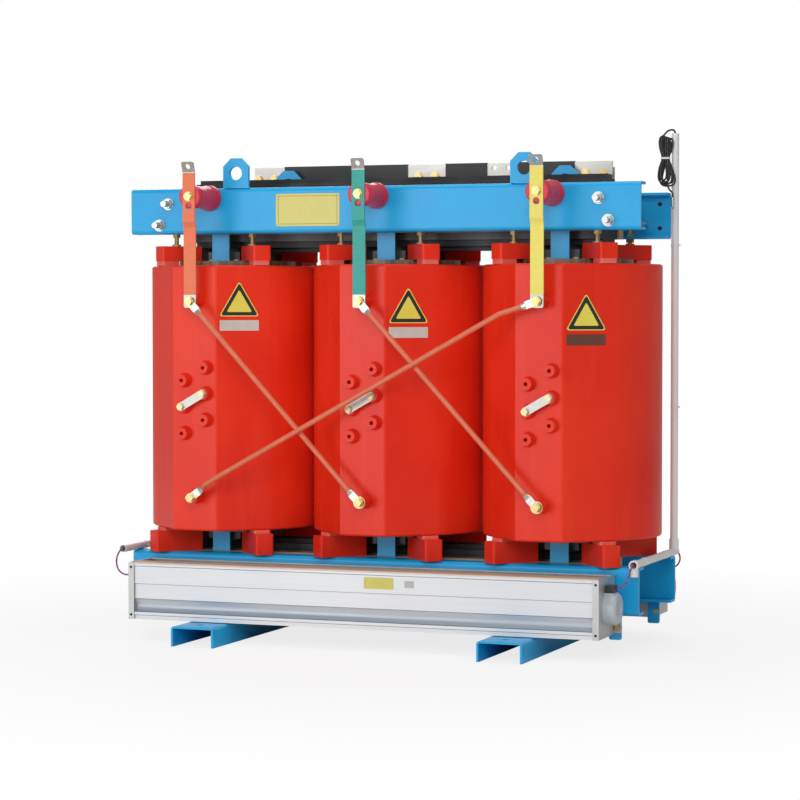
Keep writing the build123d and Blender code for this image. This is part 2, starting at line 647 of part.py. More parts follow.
def lv_bolts():
    """Two bolts at each neutral joint, heads to the core, nuts behind."""
    pieces = []
    nut = LV_BOLT * 0.8
    back = BUS_Y + 2 * BUS_THICK
    for x in phase_x.values():
        for side in (-1, 1):
            bx = x + side * LV_BOLT_X
            pieces += bolt_y(bx, BUS_Y, lv_bolt_z, LV_BOLT, back - BUS_Y + nut)
            hexagon = hexagon_y(bx, back, back + nut, lv_bolt_z, LV_BOLT * 1.6)
            pieces.append(hexagon - bar_y(bx, back, back + 2 * nut, lv_bolt_z, LV_BOLT / 2 + FIT / 2))
    return pieces


# ---- cross-flow fans ----

FAN_FRONT_Y = 334.0
FAN_BACK_Y = 190.0
FAN_BOTTOM = 55.0
FAN_HEIGHT = 151.0
FAN_INSET = 61.0
FAN_SHEET = 3.0
FAN_TOP_LIP = 46.0
FAN_LOW_LIP = 30.0
IMPELLER_Y = 264.0
IMPELLER_Z = 128.0
IMPELLER_R = 38.0
IMPELLER_GAP = 8.0
BLADE_COUNT = 24
BLADE_DEPTH = 11.0
BLADE_THICK = 1.2
BLADE_LEAN = 35.0
DISC_COUNT = 5
DISC_THICK = 2.0
SHAFT_R = 6.0
MOTOR_R = 41.0
MOTOR_LENGTH = 33.0
END_FLANGE = 16.0
END_FLANGE_THICK = 2.0
SCREW_R = 3.5
BRACKET_IN = 15.0
BRACKET_OUT = 17.0
BRACKET_HOLE_IN = 8.0
BRACKET_LOW = 40.0
BRACKET_TOP = 160.0
BRACKET_BOLT = 8.0
EAR_Z = 72.0
EAR_HEIGHT = 28.0
KRAFT_THICK = 1.5
fan_top = FAN_BOTTOM + FAN_HEIGHT
fan_half = lower_half - FAN_INSET
fan_inner_half = fan_half - FAN_SHEET
bracket_x0 = fan_half - BRACKET_IN
bracket_x1 = fan_half + BRACKET_OUT


def scroll_wall():
    """Front wall of the blower: beads, two flats, a concave band and a lip, with lips at top and bottom."""
    y = -FAN_FRONT_Y
    outer = Polyline((y + 4, fan_top), (y, fan_top - 3), (y, fan_top - 8), (y + 3, fan_top - 10),
                     (y + 3, fan_top - 56), (y + 5, fan_top - 57), (y + 5, fan_top - 96))
    band = ThreePointArc((y + 5, fan_top - 96), (y + 13, fan_top - 113), (y + 5, fan_top - 130))
    low = Polyline((y + 5, fan_top - 130), (y + 1, fan_top - 131), (y + 1, fan_top - 139),
                   (y + 4, fan_top - 141), (y + 4, FAN_BOTTOM))
    back = y + FAN_SHEET
    inner = Polyline((y + 4, FAN_BOTTOM), (y + FAN_LOW_LIP, FAN_BOTTOM),
                     (y + FAN_LOW_LIP, FAN_BOTTOM + FAN_SHEET), (y + 7, FAN_BOTTOM + FAN_SHEET),
                     (back + 5, fan_top - 132))
    inner_band = ThreePointArc((back + 5, fan_top - 132), (back + 13, fan_top - 113), (back + 5, fan_top - 94))
    rest = Polyline((back + 5, fan_top - 94), (back + 3, fan_top - 10), (back + 3, fan_top - FAN_SHEET),
                    (y + FAN_TOP_LIP, fan_top - FAN_SHEET), (y + FAN_TOP_LIP, fan_top), (y + 4, fan_top))
    section = make_face([outer, band, low, inner, inner_band, rest])
    return profile_x(section, -fan_inner_half, fan_inner_half)


def tongue_wall():
    """Rear wall of the blower, folded under at the intake and curled at the outlet."""
    y = -FAN_BACK_Y
    section = Polyline((y, FAN_BOTTOM), (y, fan_top), (y - 14, fan_top), (y - 14, fan_top - FAN_SHEET),
                       (y - FAN_SHEET, fan_top - FAN_SHEET), (y - FAN_SHEET, FAN_BOTTOM + FAN_SHEET),
                       (y - FAN_LOW_LIP, FAN_BOTTOM + FAN_SHEET), (y - FAN_LOW_LIP, FAN_BOTTOM), close=True)
    return profile_x(make_face(section), -fan_inner_half, fan_inner_half)


def end_plate(side):
    """End plate with a folded front flange, a bolting ear, and the bearing hub or the motor opening."""
    inner = side * fan_inner_half
    outer = side * fan_half
    plate = slab(inner, outer, -FAN_FRONT_Y, -FAN_BACK_Y, FAN_BOTTOM, fan_top)
    flange_x = side * (fan_half - END_FLANGE)
    flange_y = -FAN_FRONT_Y - END_FLANGE_THICK
    flange = slab(flange_x, outer, flange_y, -FAN_FRONT_Y, FAN_BOTTOM, fan_top)
    for z in (FAN_BOTTOM + 12, fan_top - 12):
        screw_x = side * (fan_half - END_FLANGE / 2)
        flange -= bar_y(screw_x, flange_y - 1, flange_y + 1.2, z, SCREW_R)
    ear = slab(outer, side * bracket_x1, -FAN_BACK_Y - FAN_SHEET, -FAN_BACK_Y,
               EAR_Z - EAR_HEIGHT / 2, EAR_Z + EAR_HEIGHT / 2)
    plate = plate + flange + ear
    plate -= bar_y(side * (bracket_x1 - BRACKET_HOLE_IN), -FAN_BACK_Y - 5, -FAN_BACK_Y + 1, EAR_Z,
                   BRACKET_BOLT / 2 + FIT)
    if side > 0:
        return plate - bar_x(inner - 1, outer + 1, -IMPELLER_Y, IMPELLER_Z, 2 * SHAFT_R)
    plate += bar_x(outer, outer - 2 * FAN_SHEET, -IMPELLER_Y, IMPELLER_Z, 2.5 * SHAFT_R)
    return plate - bar_x(inner + 1, outer - FAN_SHEET, -IMPELLER_Y, IMPELLER_Z, SHAFT_R + FIT)


def fan_motor():
    """External-rotor motor on the right end plate, with its terminal block on top."""
    start = fan_half
    outline = Polyline((0, 0), (MOTOR_R, 0), (MOTOR_R, MOTOR_LENGTH - 5), (MOTOR_R - 5, MOTOR_LENGTH),
                       (MOTOR_R * 0.5, MOTOR_LENGTH), (MOTOR_R * 0.45, MOTOR_LENGTH - 5),
                       (0, MOTOR_LENGTH - 5), close=True)
    body = revolve(make_face(outline), Axis.Y)
    body = Pos(start, -IMPELLER_Y, IMPELLER_Z) * Rot(0, 0, -90) * body
    body += slab(start, start + 0.7 * MOTOR_LENGTH, -IMPELLER_Y - 20, -IMPELLER_Y + 20,
                 IMPELLER_Z + MOTOR_R - 8, IMPELLER_Z + MOTOR_R + 18)
    return body - bar_x(start - 1, start + MOTOR_LENGTH / 2, -IMPELLER_Y, IMPELLER_Z, SHAFT_R + FIT)


def fan_impeller():
    """Drum of leaning blades carried by discs on a through shaft."""
    half = fan_inner_half - IMPELLER_GAP
    shaft_end = fan_half + MOTOR_LENGTH / 2 - IMPELLER_GAP / 2
    drum = Cylinder(SHAFT_R, fan_half - FIT + shaft_end)
    drum = Pos(0, 0, (shaft_end - fan_half + FIT) / 2) * drum
    for i in range(DISC_COUNT):
        z = -half + i * (2 * half) / (DISC_COUNT - 1)
        z = max(-half + DISC_THICK / 2, min(half - DISC_THICK / 2, z))
        drum += Pos(0, 0, z) * Cylinder(IMPELLER_R - BLADE_DEPTH / 2, DISC_THICK)
    blade = Pos(IMPELLER_R - BLADE_DEPTH / 2, 0, 0) * Rot(0, 0, BLADE_LEAN) * Box(
        BLADE_DEPTH, BLADE_THICK, 2 * half)
    blades = [Rot(0, 0, i * 360 / BLADE_COUNT) * blade for i in range(BLADE_COUNT)]
    drum = drum.fuse(*blades)
    return Pos(0, -IMPELLER_Y, IMPELLER_Z) * Rot(0, 90, 0) * drum


def fan_bracket(side):
    """Blue plate that hangs from the lower clamp's web and carries one end of the blower."""
    plate = slab(side * bracket_x0, side * bracket_x1, -FAN_BACK_Y, -CLAMP_FACE_Y, BRACKET_LOW, BRACKET_TOP)
    plate = fillet(plate.edges().filter_by(Axis.Y).group_by(Axis.Z)[0], 5)
    return plate - bar_y(side * (bracket_x1 - BRACKET_HOLE_IN), -FAN_BACK_Y - 1, -CLAMP_FACE_Y + 1, EAR_Z,
                         BRACKET_BOLT / 2 + FIT)


def bracket_bolts(side):
    x = side * (bracket_x1 - BRACKET_HOLE_IN)
    face = -FAN_BACK_Y - FAN_SHEET
    nut = BRACKET_BOLT * 0.8
    pieces = bolt_y(x, face, EAR_Z, BRACKET_BOLT, -CLAMP_FACE_Y - face + 1.5 * nut)
    hexagon = hexagon_y(x, -CLAMP_FACE_Y, -CLAMP_FACE_Y + nut, EAR_Z, BRACKET_BOLT * 1.6)
    pieces.append(hexagon - bar_y(x, -CLAMP_FACE_Y - 1, -CLAMP_FACE_Y + 2 * nut, EAR_Z, BRACKET_BOLT / 2 + FIT / 2))
    return pieces


def cover_strip():
    """Thin fibre strip laid on the blower's top lip."""
    return slab(-fan_inner_half, fan_inner_half, -FAN_FRONT_Y + 4, -FAN_FRONT_Y + FAN_TOP_LIP,
                fan_top, fan_top + KRAFT_THICK)


# ---- wiring conduits ----

CONDUIT_R = 10.0
CONDUIT_BORE_R = 8.5
BRANCH_BORE_R = 8.0
CONDUIT_X = lower_half - 4.7
CONDUIT_FRONT = 219.0
CONDUIT_LEFT_FRONT = 256.0
CONDUIT_BACK = 205.0
RISER_Y = 185.0
RISER_TOP = 1346.0
FITTING_R = 12.5
FITTING_LENGTH = 24.0
STUB_DROP = 30.0
conduit_z = lower_clamp_top + CONDUIT_R


def conduit_right():
    """Rigid plastic pipe on the clamp ends, a tee near its front, and a riser past the upper clamp."""
    front = -CONDUIT_FRONT
    tee_y = front + 0.5 * FITTING_LENGTH
    socket_top = conduit_z + CONDUIT_R + FITTING_LENGTH
    solid = bar_y(CONDUIT_X, front, CONDUIT_BACK, conduit_z, CONDUIT_R)
    solid += bar_y(CONDUIT_X, front + 1, front + FITTING_LENGTH, conduit_z, FITTING_R)
    solid += bar_z(CONDUIT_X, RISER_Y, conduit_z, socket_top, FITTING_R)
    solid += bar_z(CONDUIT_X, RISER_Y, socket_top - 1, RISER_TOP, CONDUIT_R)
    solid += bar_z(CONDUIT_X, tee_y, conduit_z - STUB_DROP, conduit_z, CONDUIT_R)
    solid -= bar_y(CONDUIT_X, front - 1, CONDUIT_BACK + 1, conduit_z, CONDUIT_BORE_R)
    solid -= bar_z(CONDUIT_X, RISER_Y, conduit_z, RISER_TOP + 1, BRANCH_BORE_R)
    return solid - bar_z(CONDUIT_X, tee_y, conduit_z - STUB_DROP - 1, conduit_z, BRANCH_BORE_R)


def conduit_left():
    pipe = bar_y(-CONDUIT_X, -CONDUIT_LEFT_FRONT, CONDUIT_BACK, conduit_z, CONDUIT_R)
    return pipe - bar_y(-CONDUIT_X, -CONDUIT_LEFT_FRONT - 1, CONDUIT_BACK + 1, conduit_z, CONDUIT_BORE_R)


# ---- cords: the sensor cable with its hank, and the leads to the fans ----

SENSOR_R = 2.5
LEAD_R = 2.5
HANK_X = 686.0
HANK_THICK = 20.0
HANK_Y = RISER_Y - CONDUIT_R - FIT - HANK_THICK / 2
HANK_LOW = 1203.0
HANK_TOP = 1335.0
HANK_WAIST_Z = 1280.0
HANK_HALF_TOP = 15.0
HANK_HALF_WAIST = 9.0
HANK_HALF_LOW = 21.0
PLUG_R = 4.0
PLUG_LENGTH = 26.0
SENSOR_OUT = ((707.3, 185, 1336), (707.3, 185, 1354), (697, 176, 1358), (688, 166, 1351), (686, 163, 1335.8))
SENSOR_TAIL = ((693, 163, 1201.5), (699, 163, 1194), (706, 163, 1189), (706, 163, 1176))
LEAD_RIGHT = ((707.3, -208, 234), (707.3, -226, 234), (706, -241, 225), (704, -250, 209),
              (699, -256, 193), (688, -259, 181), (674.9, -260, 178))
LEAD_LEFT = ((-707.3, -246, 234), (-707.3, -264, 234), (-710, -278, 224), (-713, -284, 207),
             (-711, -285, 188), (-702, -284, 173), (-686, -282, 166), (-668, -281, 168), (-651.3, -280, 170))
LEAD_REAR = ((707.3, 194, 234), (707.3, 213, 234), (710, 228, 226), (711, 240, 211),
             (704, 250, 195), (690, 256, 184), (674.9, 258, 180))


def cord_tube(points, radius, name):
    """Plain tube along a route, with the largest arcs that its runs allow."""
    corners = [Vector(*point) for point in points]
    runs = [end - start for start, end in zip(corners, corners[1:])]
    radii = []
    for before, after in zip(runs, runs[1:]):
        half_turn = math.radians(before.get_angle(after)) / 2
        radii.append(0.45 * min(before.length, after.length) / math.tan(half_turn))
    path = FilletPolyline(*corners, radius=radii)
    print(name, "arc radii", [round(r, 1) for r in radii], "length", round(path.length, 1))
    section = Plane(origin=path @ 0, z_dir=path % 0) * Circle(radius)
    return sweep(section, path=path)


def sensor_hank():
    """Outer shape of the tied hank: flared above and below its waist."""
    half_low = (HANK_X - HANK_HALF_LOW, HANK_X + HANK_HALF_LOW)
    shoulder = 12.0
    outline = Polyline(
        (half_low[0], HANK_LOW + shoulder), (half_low[0] + shoulder, HANK_LOW),
        (half_low[1] - shoulder, HANK_LOW), (half_low[1], HANK_LOW + shoulder),
        (HANK_X + HANK_HALF_WAIST, HANK_WAIST_Z), (HANK_X + HANK_HALF_TOP, HANK_TOP - shoulder),
        (HANK_X + HANK_HALF_TOP - 8, HANK_TOP), (HANK_X - HANK_HALF_TOP + 8, HANK_TOP),
        (HANK_X - HANK_HALF_TOP, HANK_TOP - shoulder), (HANK_X - HANK_HALF_WAIST, HANK_WAIST_Z), close=True)
    solid = extrude(Plane.XZ * make_face(outline), HANK_THICK / 2, both=True)
    return Pos(0, HANK_Y, 0) * solid


def sensor_plug():
    x, y, z = SENSOR_TAIL[-1]
    plug = bar_z(x, y, z - PLUG_LENGTH, z, PLUG_R)
    return fillet(plug.edges().group_by(Axis.Z)[0], PLUG_R * 0.6)


# ---- all sub-parts ----

os.makedirs("parts", exist_ok=True)

for word, end in (("left", -1), ("right", 1)):
    save("base_rail_" + word, [base_rail(end * RAIL_X)])
feet = [clamp_foot(end * RAIL_X) for end in (-1, 1)]
save("clamp_feet", feet + mirrored(feet))

for name, x in phase_x.items():
    save("core_limb_" + name, [core_limb(x)])
save("lower_yoke", [core_yoke(lower_yoke_z)])
save("upper_yoke", [core_yoke(window_top)])

lower_clamp = clamp_channel(lower_clamp_z, lower_half)
save("lower_clamp_front", [lower_clamp])
save("lower_clamp_rear", mirrored([lower_clamp]))
tie_top = upper_clamp_top - REAR_DROP / 2
for word, z, half in (("front", upper_clamp_z, UPPER_FRONT_HALF), ("rear", upper_rear_z, upper_rear_half)):
    clamp = cut_upper_clamp(clamp_channel(z, half), z, half, tie_top)
    save("upper_clamp_" + word, [clamp] if word == "front" else mirrored([clamp]))
save("clamp_tie_rods", clamp_tie_rods(tie_top))
save("lifting_lugs", [lifting_lug(end * LUG_X, upper_clamp_top) for end in (-1, 1)]
     + mirrored([lifting_lug(end * LUG_X, upper_rear_top) for end in (-1, 1)]))
save("tie_plates", tie_plates())
beams = [yoke_packing(-1, lower_clamp_z), yoke_packing(1, lower_clamp_z),
         yoke_packing(-1, upper_clamp_z), yoke_packing(1, upper_rear_z)]
save("core_packing", beams + limb_boards())

for name, x in phase_x.items():
    save("hv_coil_" + name, [hv_coil(x)])
    save("lv_coil_" + name, [lv_coil(x)])
lower_blocks, upper_blocks, pads = coil_supports()
save("coil_blocks", lower_blocks + upper_blocks)
save("block_pads", pads)
save("pressure_bolts", pressure_bolts(-1, upper_clamp_z) + pressure_bolts(1, upper_rear_z))

for name, x in phase_x.items():
    save("post_insulator_" + name, [post_insulator(x)])
    save("hv_strip_" + name, [hv_strip(x)])
for node, rod in delta_rods().items():
    save(node, [rod])
save("hv_bolts", hv_bolts())
save("tap_links", [piece for x in phase_x.values() for piece in tap_links(x)])

save("neutral_bus", [neutral_bus()])
save("bus_sleeves", bus_sleeves())
save("neutral_leads", [neutral_lead(x) for x in phase_x.values()])
save("lv_phase_bars", [phase_bar(x) for x in phase_x.values()])
save("lv_bolts", lv_bolts())

for word, plane in (("front", None), ("rear", Plane.XZ)):
    for node, piece in (("fan_casing_", scroll_wall()), ("fan_impeller_", fan_impeller()),
                        ("fan_motor_", fan_motor())):
        save(node + word, [piece] if plane is None else mirrored([piece]))
plates = [end_plate(end) for end in (-1, 1)]
brackets = [fan_bracket(end) for end in (-1, 1)]
bolts = bracket_bolts(-1) + bracket_bolts(1)
save("fan_tongues", [tongue_wall()] + mirrored([tongue_wall()]))
save("fan_end_plates", plates + mirrored(plates))
save("fan_brackets", brackets + mirrored(brackets))
save("bracket_bolts", bolts + mirrored(bolts))
save("fan_cover_strips", [cover_strip()] + mirrored([cover_strip()]))

save("conduit_right", [conduit_right()])
save("conduit_left", [conduit_left()])
save("sensor_cable", [cord_tube(SENSOR_OUT, SENSOR_R, "sensor cable"),
                      cord_tube(SENSOR_TAIL, SENSOR_R, "sensor tail")])
save("sensor_hank", [sensor_hank()])
save("sensor_plug", [sensor_plug()])
save("fan_lead_right", [cord_tube(LEAD_RIGHT, LEAD_R, "right fan lead")])
save("fan_lead_left", [cord_tube(LEAD_LEFT, LEAD_R, "left fan lead")])
save("fan_lead_rear", [cord_tube(LEAD_REAR, LEAD_R, "rear fan lead")])
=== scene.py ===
import bmesh
import bpy
import math
from mathutils import Matrix, Vector


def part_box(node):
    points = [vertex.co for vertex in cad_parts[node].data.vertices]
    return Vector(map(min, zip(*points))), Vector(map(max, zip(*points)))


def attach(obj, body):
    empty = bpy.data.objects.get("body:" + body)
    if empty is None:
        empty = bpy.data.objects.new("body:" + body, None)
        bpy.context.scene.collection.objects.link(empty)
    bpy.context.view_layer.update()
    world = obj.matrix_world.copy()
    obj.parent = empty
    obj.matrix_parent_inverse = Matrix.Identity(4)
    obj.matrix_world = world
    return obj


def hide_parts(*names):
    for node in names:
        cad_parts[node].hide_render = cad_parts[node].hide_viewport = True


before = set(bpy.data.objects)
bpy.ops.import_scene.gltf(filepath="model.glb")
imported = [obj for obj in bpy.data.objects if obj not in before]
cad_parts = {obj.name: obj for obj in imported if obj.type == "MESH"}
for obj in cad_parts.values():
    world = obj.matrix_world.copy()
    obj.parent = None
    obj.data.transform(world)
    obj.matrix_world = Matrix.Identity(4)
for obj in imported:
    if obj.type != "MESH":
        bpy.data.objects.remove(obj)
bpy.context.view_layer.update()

# ---------------------------------------------------------------- studio
# A pale room lit by four soft panels. Only the camera sees it as plain white,
# and the floor keeps a faint shadow.


class Wire:
    """A shader socket that can be written with in expressions."""

    def __init__(self, finish, socket):
        self.finish = finish
        self.socket = socket

    def math(self, operation, first, second=0.0):
        return self.finish.node("ShaderNodeMath", {"operation": operation}, {0: first, 1: second})

    def __add__(self, other):
        return self.math("ADD", self, other)

    def __radd__(self, other):
        return self.math("ADD", other, self)

    def __sub__(self, other):
        return self.math("SUBTRACT", self, other)

    def __rsub__(self, other):
        return self.math("SUBTRACT", other, self)

    def __mul__(self, other):
        return self.math("MULTIPLY", self, other)

    def __rmul__(self, other):
        return self.math("MULTIPLY", other, self)

    def __gt__(self, other):
        return self.math("GREATER_THAN", self, other)

    def __lt__(self, other):
        return self.math("LESS_THAN", self, other)

    def wave(self, period):
        """Ripples from 0 to 1 along this coordinate."""
        return self.math("SINE", self * (2 * math.pi / period)) * 0.5 + 0.5


class Finish:
    """A material and its node tree, in metres of the shared frame."""

    def __init__(self, name, **sockets):
        self.material = bpy.data.materials.new(name)
        self.material.use_nodes = True
        self.tree = self.material.node_tree
        self.shader = self.tree.nodes["Principled BSDF"]
        self.place = self.node("ShaderNodeTexCoord", output="Object")
        self.put(**sockets)

    def node(self, kind, settings=None, inputs=None, output=0):
        made = self.tree.nodes.new(kind)
        for key, value in (settings or {}).items():
            setattr(made, key, value)
        for key, value in (inputs or {}).items():
            self.join(value, made.inputs[key])
        return Wire(self, made.outputs[output])

    def join(self, value, socket):
        if isinstance(value, Wire):
            self.tree.links.new(value.socket, socket)
        else:
            socket.default_value = value

    def put(self, **sockets):
        for key, value in sockets.items():
            if isinstance(value, tuple) and len(value) == 3:
                value = (*value, 1.0)
            self.join(value, self.shader.inputs[key.replace("_", " ")])
        return self

    def axis(self, letter):
        return self.node("ShaderNodeSeparateXYZ", inputs={0: self.place}, output=letter)

    def noise(self, scale, detail=3.0, stretch=(1.0, 1.0, 1.0)):
        where = self.node("ShaderNodeVectorMath", {"operation": "MULTIPLY"}, {0: self.place, 1: stretch})
        return self.node("ShaderNodeTexNoise", None, {"Vector": where, "Scale": scale, "Detail": detail})

    def mix(self, first, second, factor):
        first, second = [(*c, 1.0) if isinstance(c, tuple) else c for c in (first, second)]
        return self.node("ShaderNodeMix", {"data_type": "RGBA"}, {0: factor, 6: first, 7: second}, 2)

    def blotch(self, wire, low, high):
        """Noise stretched to a mask from 0 to 1."""
        return self.node("ShaderNodeMapRange", {"clamp": True}, {0: wire, 1: low, 2: high})

    def near(self, point, reach):
        """1 within reach of a point, 0 beyond."""
        ends = {0: self.place, 1: point}
        return self.node("ShaderNodeVectorMath", {"operation": "DISTANCE"}, ends, "Value") < reach

    def bump(self, height, depth, strength):
        relief = {"Height": height, "Distance": depth, "Strength": strength}
        return self.put(Normal=self.node("ShaderNodeBump", None, relief, "Normal"))


def dress(finish, *nodes):
    """Gives CAD sub-parts their material."""
    for node in nodes:
        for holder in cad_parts[node].material_slots:
            holder.material = finish.material


scene = bpy.context.scene
scene.view_settings.view_transform = "Standard"

camera_place = (2.4516, -6.5222, 0.8876)
camera_turn = math.radians(20.63)
camera_dip = math.radians(2.07)
camera_data = bpy.data.cameras.new("camera")
camera_data.sensor_width = 36.0
camera_data.lens = 116.56
camera_data.clip_end = 100.0
camera = bpy.data.objects.new("camera", camera_data)
camera.location = camera_place
camera.rotation_euler = (math.pi / 2 - camera_dip, 0.0, camera_turn)
scene.collection.objects.link(camera)
scene.camera = camera

room_light = 0.34
world = bpy.data.worlds.new("room")
world.use_nodes = True
scene.world = world
room = world.node_tree
background = room.nodes["Background"]
rays = room.nodes.new("ShaderNodeLightPath")
level = room.nodes.new("ShaderNodeMapRange")
level.inputs["To Min"].default_value = room_light
level.inputs["To Max"].default_value = 1.0
room.links.new(rays.outputs["Is Camera Ray"], level.inputs["Value"])
background.inputs["Color"].default_value = (1.0, 1.0, 1.0, 1.0)
room.links.new(level.outputs[0], background.inputs["Strength"])

floor_half = 30.0
floor_corners = [(-floor_half, -floor_half, 0), (floor_half, -floor_half, 0),
                 (floor_half, floor_half, 0), (-floor_half, floor_half, 0)]
floor_mesh = bpy.data.meshes.new("floor")
floor_mesh.from_pydata(floor_corners, [], [(0, 1, 2, 3)])
floor = bpy.data.objects.new("floor", floor_mesh)
scene.collection.objects.link(floor)
floor_paint = Finish("floor_paint", Base_Color=(0.90, 0.90, 0.90), Roughness=0.8)
glow = floor_paint.node("ShaderNodeEmission", None, {"Color": (1, 1, 1, 1), "Strength": 1.0}, "Emission")
camera_ray = floor_paint.node("ShaderNodeLightPath", output="Is Camera Ray")
away = floor_paint.node("ShaderNodeVectorMath", {"operation": "LENGTH"}, {0: floor_paint.place}, "Value")
shadow_near = 0.9
shadow_far = 2.2
shown = floor_paint.blotch(away, shadow_near, shadow_far) * 0.2 + 0.8
matt = Wire(floor_paint, floor_paint.shader.outputs[0])
blend = floor_paint.node("ShaderNodeMixShader", None, {0: camera_ray * shown, 1: matt, 2: glow})
floor_paint.tree.links.new(blend.socket, floor_paint.tree.nodes["Material Output"].inputs["Surface"])
floor_mesh.materials.append(floor_paint.material)


def lamp(name, place, aim, width, height, power):
    """Soft rectangular panel turned towards a point."""
    data = bpy.data.lights.new(name, "AREA")
    data.shape = "RECTANGLE"
    data.size = width
    data.size_y = height
    data.energy = power
    made = bpy.data.objects.new(name, data)
    made.location = place
    made.rotation_euler = (Vector(aim) - Vector(place)).to_track_quat("-Z", "Y").to_euler()
    scene.collection.objects.link(made)


coil_middle = (0.0, 0.0, 0.65)
lamp("front_left_panel", (-2.0, -5.2, 1.0), coil_middle, 2.4, 2.4, 66.0)
lamp("front_right_panel", (2.0, -6.0, 2.8), coil_middle, 2.4, 2.2, 112.0)
lamp("overhead", (0.0, -0.6, 4.2), coil_middle, 3.4, 2.6, 48.0)
lamp("back", (-2.5, 4.5, 2.6), coil_middle, 2.6, 2.6, 70.0)

# ---------------------------------------------------------------- painted steel
# Rails, feet, folded clamps, lifting eyes, tie plates and fan brackets are
# bent or cut steel plate, sprayed azure: a faint orange-peel skin, slightly
# uneven gloss and a few paler scuffs.

azure = Finish("azure_paint", Coat_Weight=0.10, Coat_Roughness=0.2, Specular_IOR_Level=0.35)
patches = azure.blotch(azure.noise(7.0, 4.0), 0.35, 0.7)
scuffs = azure.blotch(azure.noise(60.0, 5.0), 0.66, 0.78)
paint = azure.mix((0.005, 0.36, 0.74), (0.009, 0.41, 0.80), patches)
azure.put(Base_Color=azure.mix(paint, (0.03, 0.40, 0.78), scuffs * 0.5),
          Roughness=patches * 0.08 + 0.30 + scuffs * 0.15)
azure.bump(azure.noise(420.0, 2.0), 0.0004, 0.35)
dress(azure, "base_rail_left", "base_rail_right", "clamp_feet", "lower_clamp_front", "lower_clamp_rear",
      "upper_clamp_front", "upper_clamp_rear", "lifting_lugs", "tie_plates", "fan_brackets")

# ---------------------------------------------------------------- laminated core
# Stacked silicon-steel sheets, varnished black, with a fine line every few
# sheets. Beams of pressed board pack the yokes against the clamps.

lamination_pitch = 0.0042
core = Finish("core_varnish", Metallic=0.35)
sheets = core.axis("Y").wave(lamination_pitch)
stain = core.blotch(core.noise(14.0, 4.0), 0.4, 0.75)
core.put(Base_Color=core.mix((0.012, 0.012, 0.014), (0.10, 0.10, 0.105), sheets * 0.7 + stain * 0.15),
         Roughness=stain * 0.25 + 0.42)
core.bump(sheets, 0.0012, 0.8)
dress(core, "core_limb_a", "core_limb_b", "core_limb_c", "lower_yoke", "upper_yoke")

packing = Finish("pressed_board", Roughness=0.75)
fibres = packing.noise(180.0, 4.0, (0.15, 1.0, 1.0))
packing.put(Base_Color=packing.mix((0.55, 0.40, 0.22), (0.74, 0.60, 0.40), fibres))
packing.bump(fibres, 0.0005, 0.5)
dress(packing, "core_packing")

# ---------------------------------------------------------------- cast-resin coils
# High-voltage coils and blocks are vacuum-cast in pigmented epoxy: satin, with
# slow waves and faint streaks. Inside stand foil-wound low-voltage coils, and
# silicone pads cushion the blocks.

resin = Finish("cast_resin", Coat_Weight=0.05, Coat_Roughness=0.2, Specular_IOR_Level=0.22)
cloud = resin.blotch(resin.noise(3.2, 3.0), 0.35, 0.68)
streak = resin.blotch(resin.noise(26.0, 3.0, (1.0, 1.0, 0.12)), 0.52, 0.72)
skin = resin.mix((0.76, 0.024, 0.008), (0.85, 0.038, 0.012), cloud)
resin.put(Base_Color=resin.mix(skin, (0.86, 0.050, 0.020), streak * 0.4), Roughness=cloud * 0.10 + 0.26)
resin.bump(resin.noise(5.5, 2.0) * 0.9 + resin.noise(160.0, 2.0) * 0.06, 0.0035, 0.45)
dress(resin, "hv_coil_a", "hv_coil_b", "hv_coil_c", "coil_blocks")

foil = Finish("foil_winding", Coat_Weight=0.3)
turns = foil.blotch(foil.noise(90.0, 3.0, (1.0, 1.0, 0.05)), 0.4, 0.6)
# Painted shade: the foil is coloured a dark brown to match the shade that lies between the blocks.
foil.put(Base_Color=foil.mix((0.10, 0.055, 0.030), (0.26, 0.17, 0.10), turns), Roughness=turns * 0.2 + 0.35)
dress(foil, "lv_coil_a", "lv_coil_b", "lv_coil_c")


def mottled(name, deep, bright, scale, **sockets):
    """A finish whose colour drifts between two close tones."""
    made = Finish(name, **sockets)
    return made.put(Base_Color=made.mix(deep, bright, made.noise(scale)))


silicone = mottled("silicone_pad", (0.74, 0.10, 0.075), (0.82, 0.17, 0.13), 40.0, Roughness=0.6)
silicone.bump(silicone.noise(300.0, 2.0), 0.0004, 0.4)
dress(silicone, "block_pads")

# ---------------------------------------------------------------- post insulators
# Crimson moulded posts that hold the line strips off the clamp: glossy resin,
# ringed with fine ridges along their length.

post = Finish("post_resin", Coat_Weight=0.15, Coat_Roughness=0.2, Specular_IOR_Level=0.4)
tint = post.blotch(post.noise(18.0, 3.0), 0.35, 0.7)
post.put(Base_Color=post.mix((0.60, 0.012, 0.045), (0.72, 0.022, 0.070), tint), Roughness=tint * 0.08 + 0.32)
post.bump(post.axis("Y").wave(0.0035) + post.noise(120.0, 2.0) * 0.3, 0.0005, 0.5)
dress(post, "post_insulator_a", "post_insulator_b", "post_insulator_c")

# ---------------------------------------------------------------- line strips
# Flat copper under a coloured heat-shrunk sleeve, one colour for each phase;
# both ends are left bare, tinned and drilled.

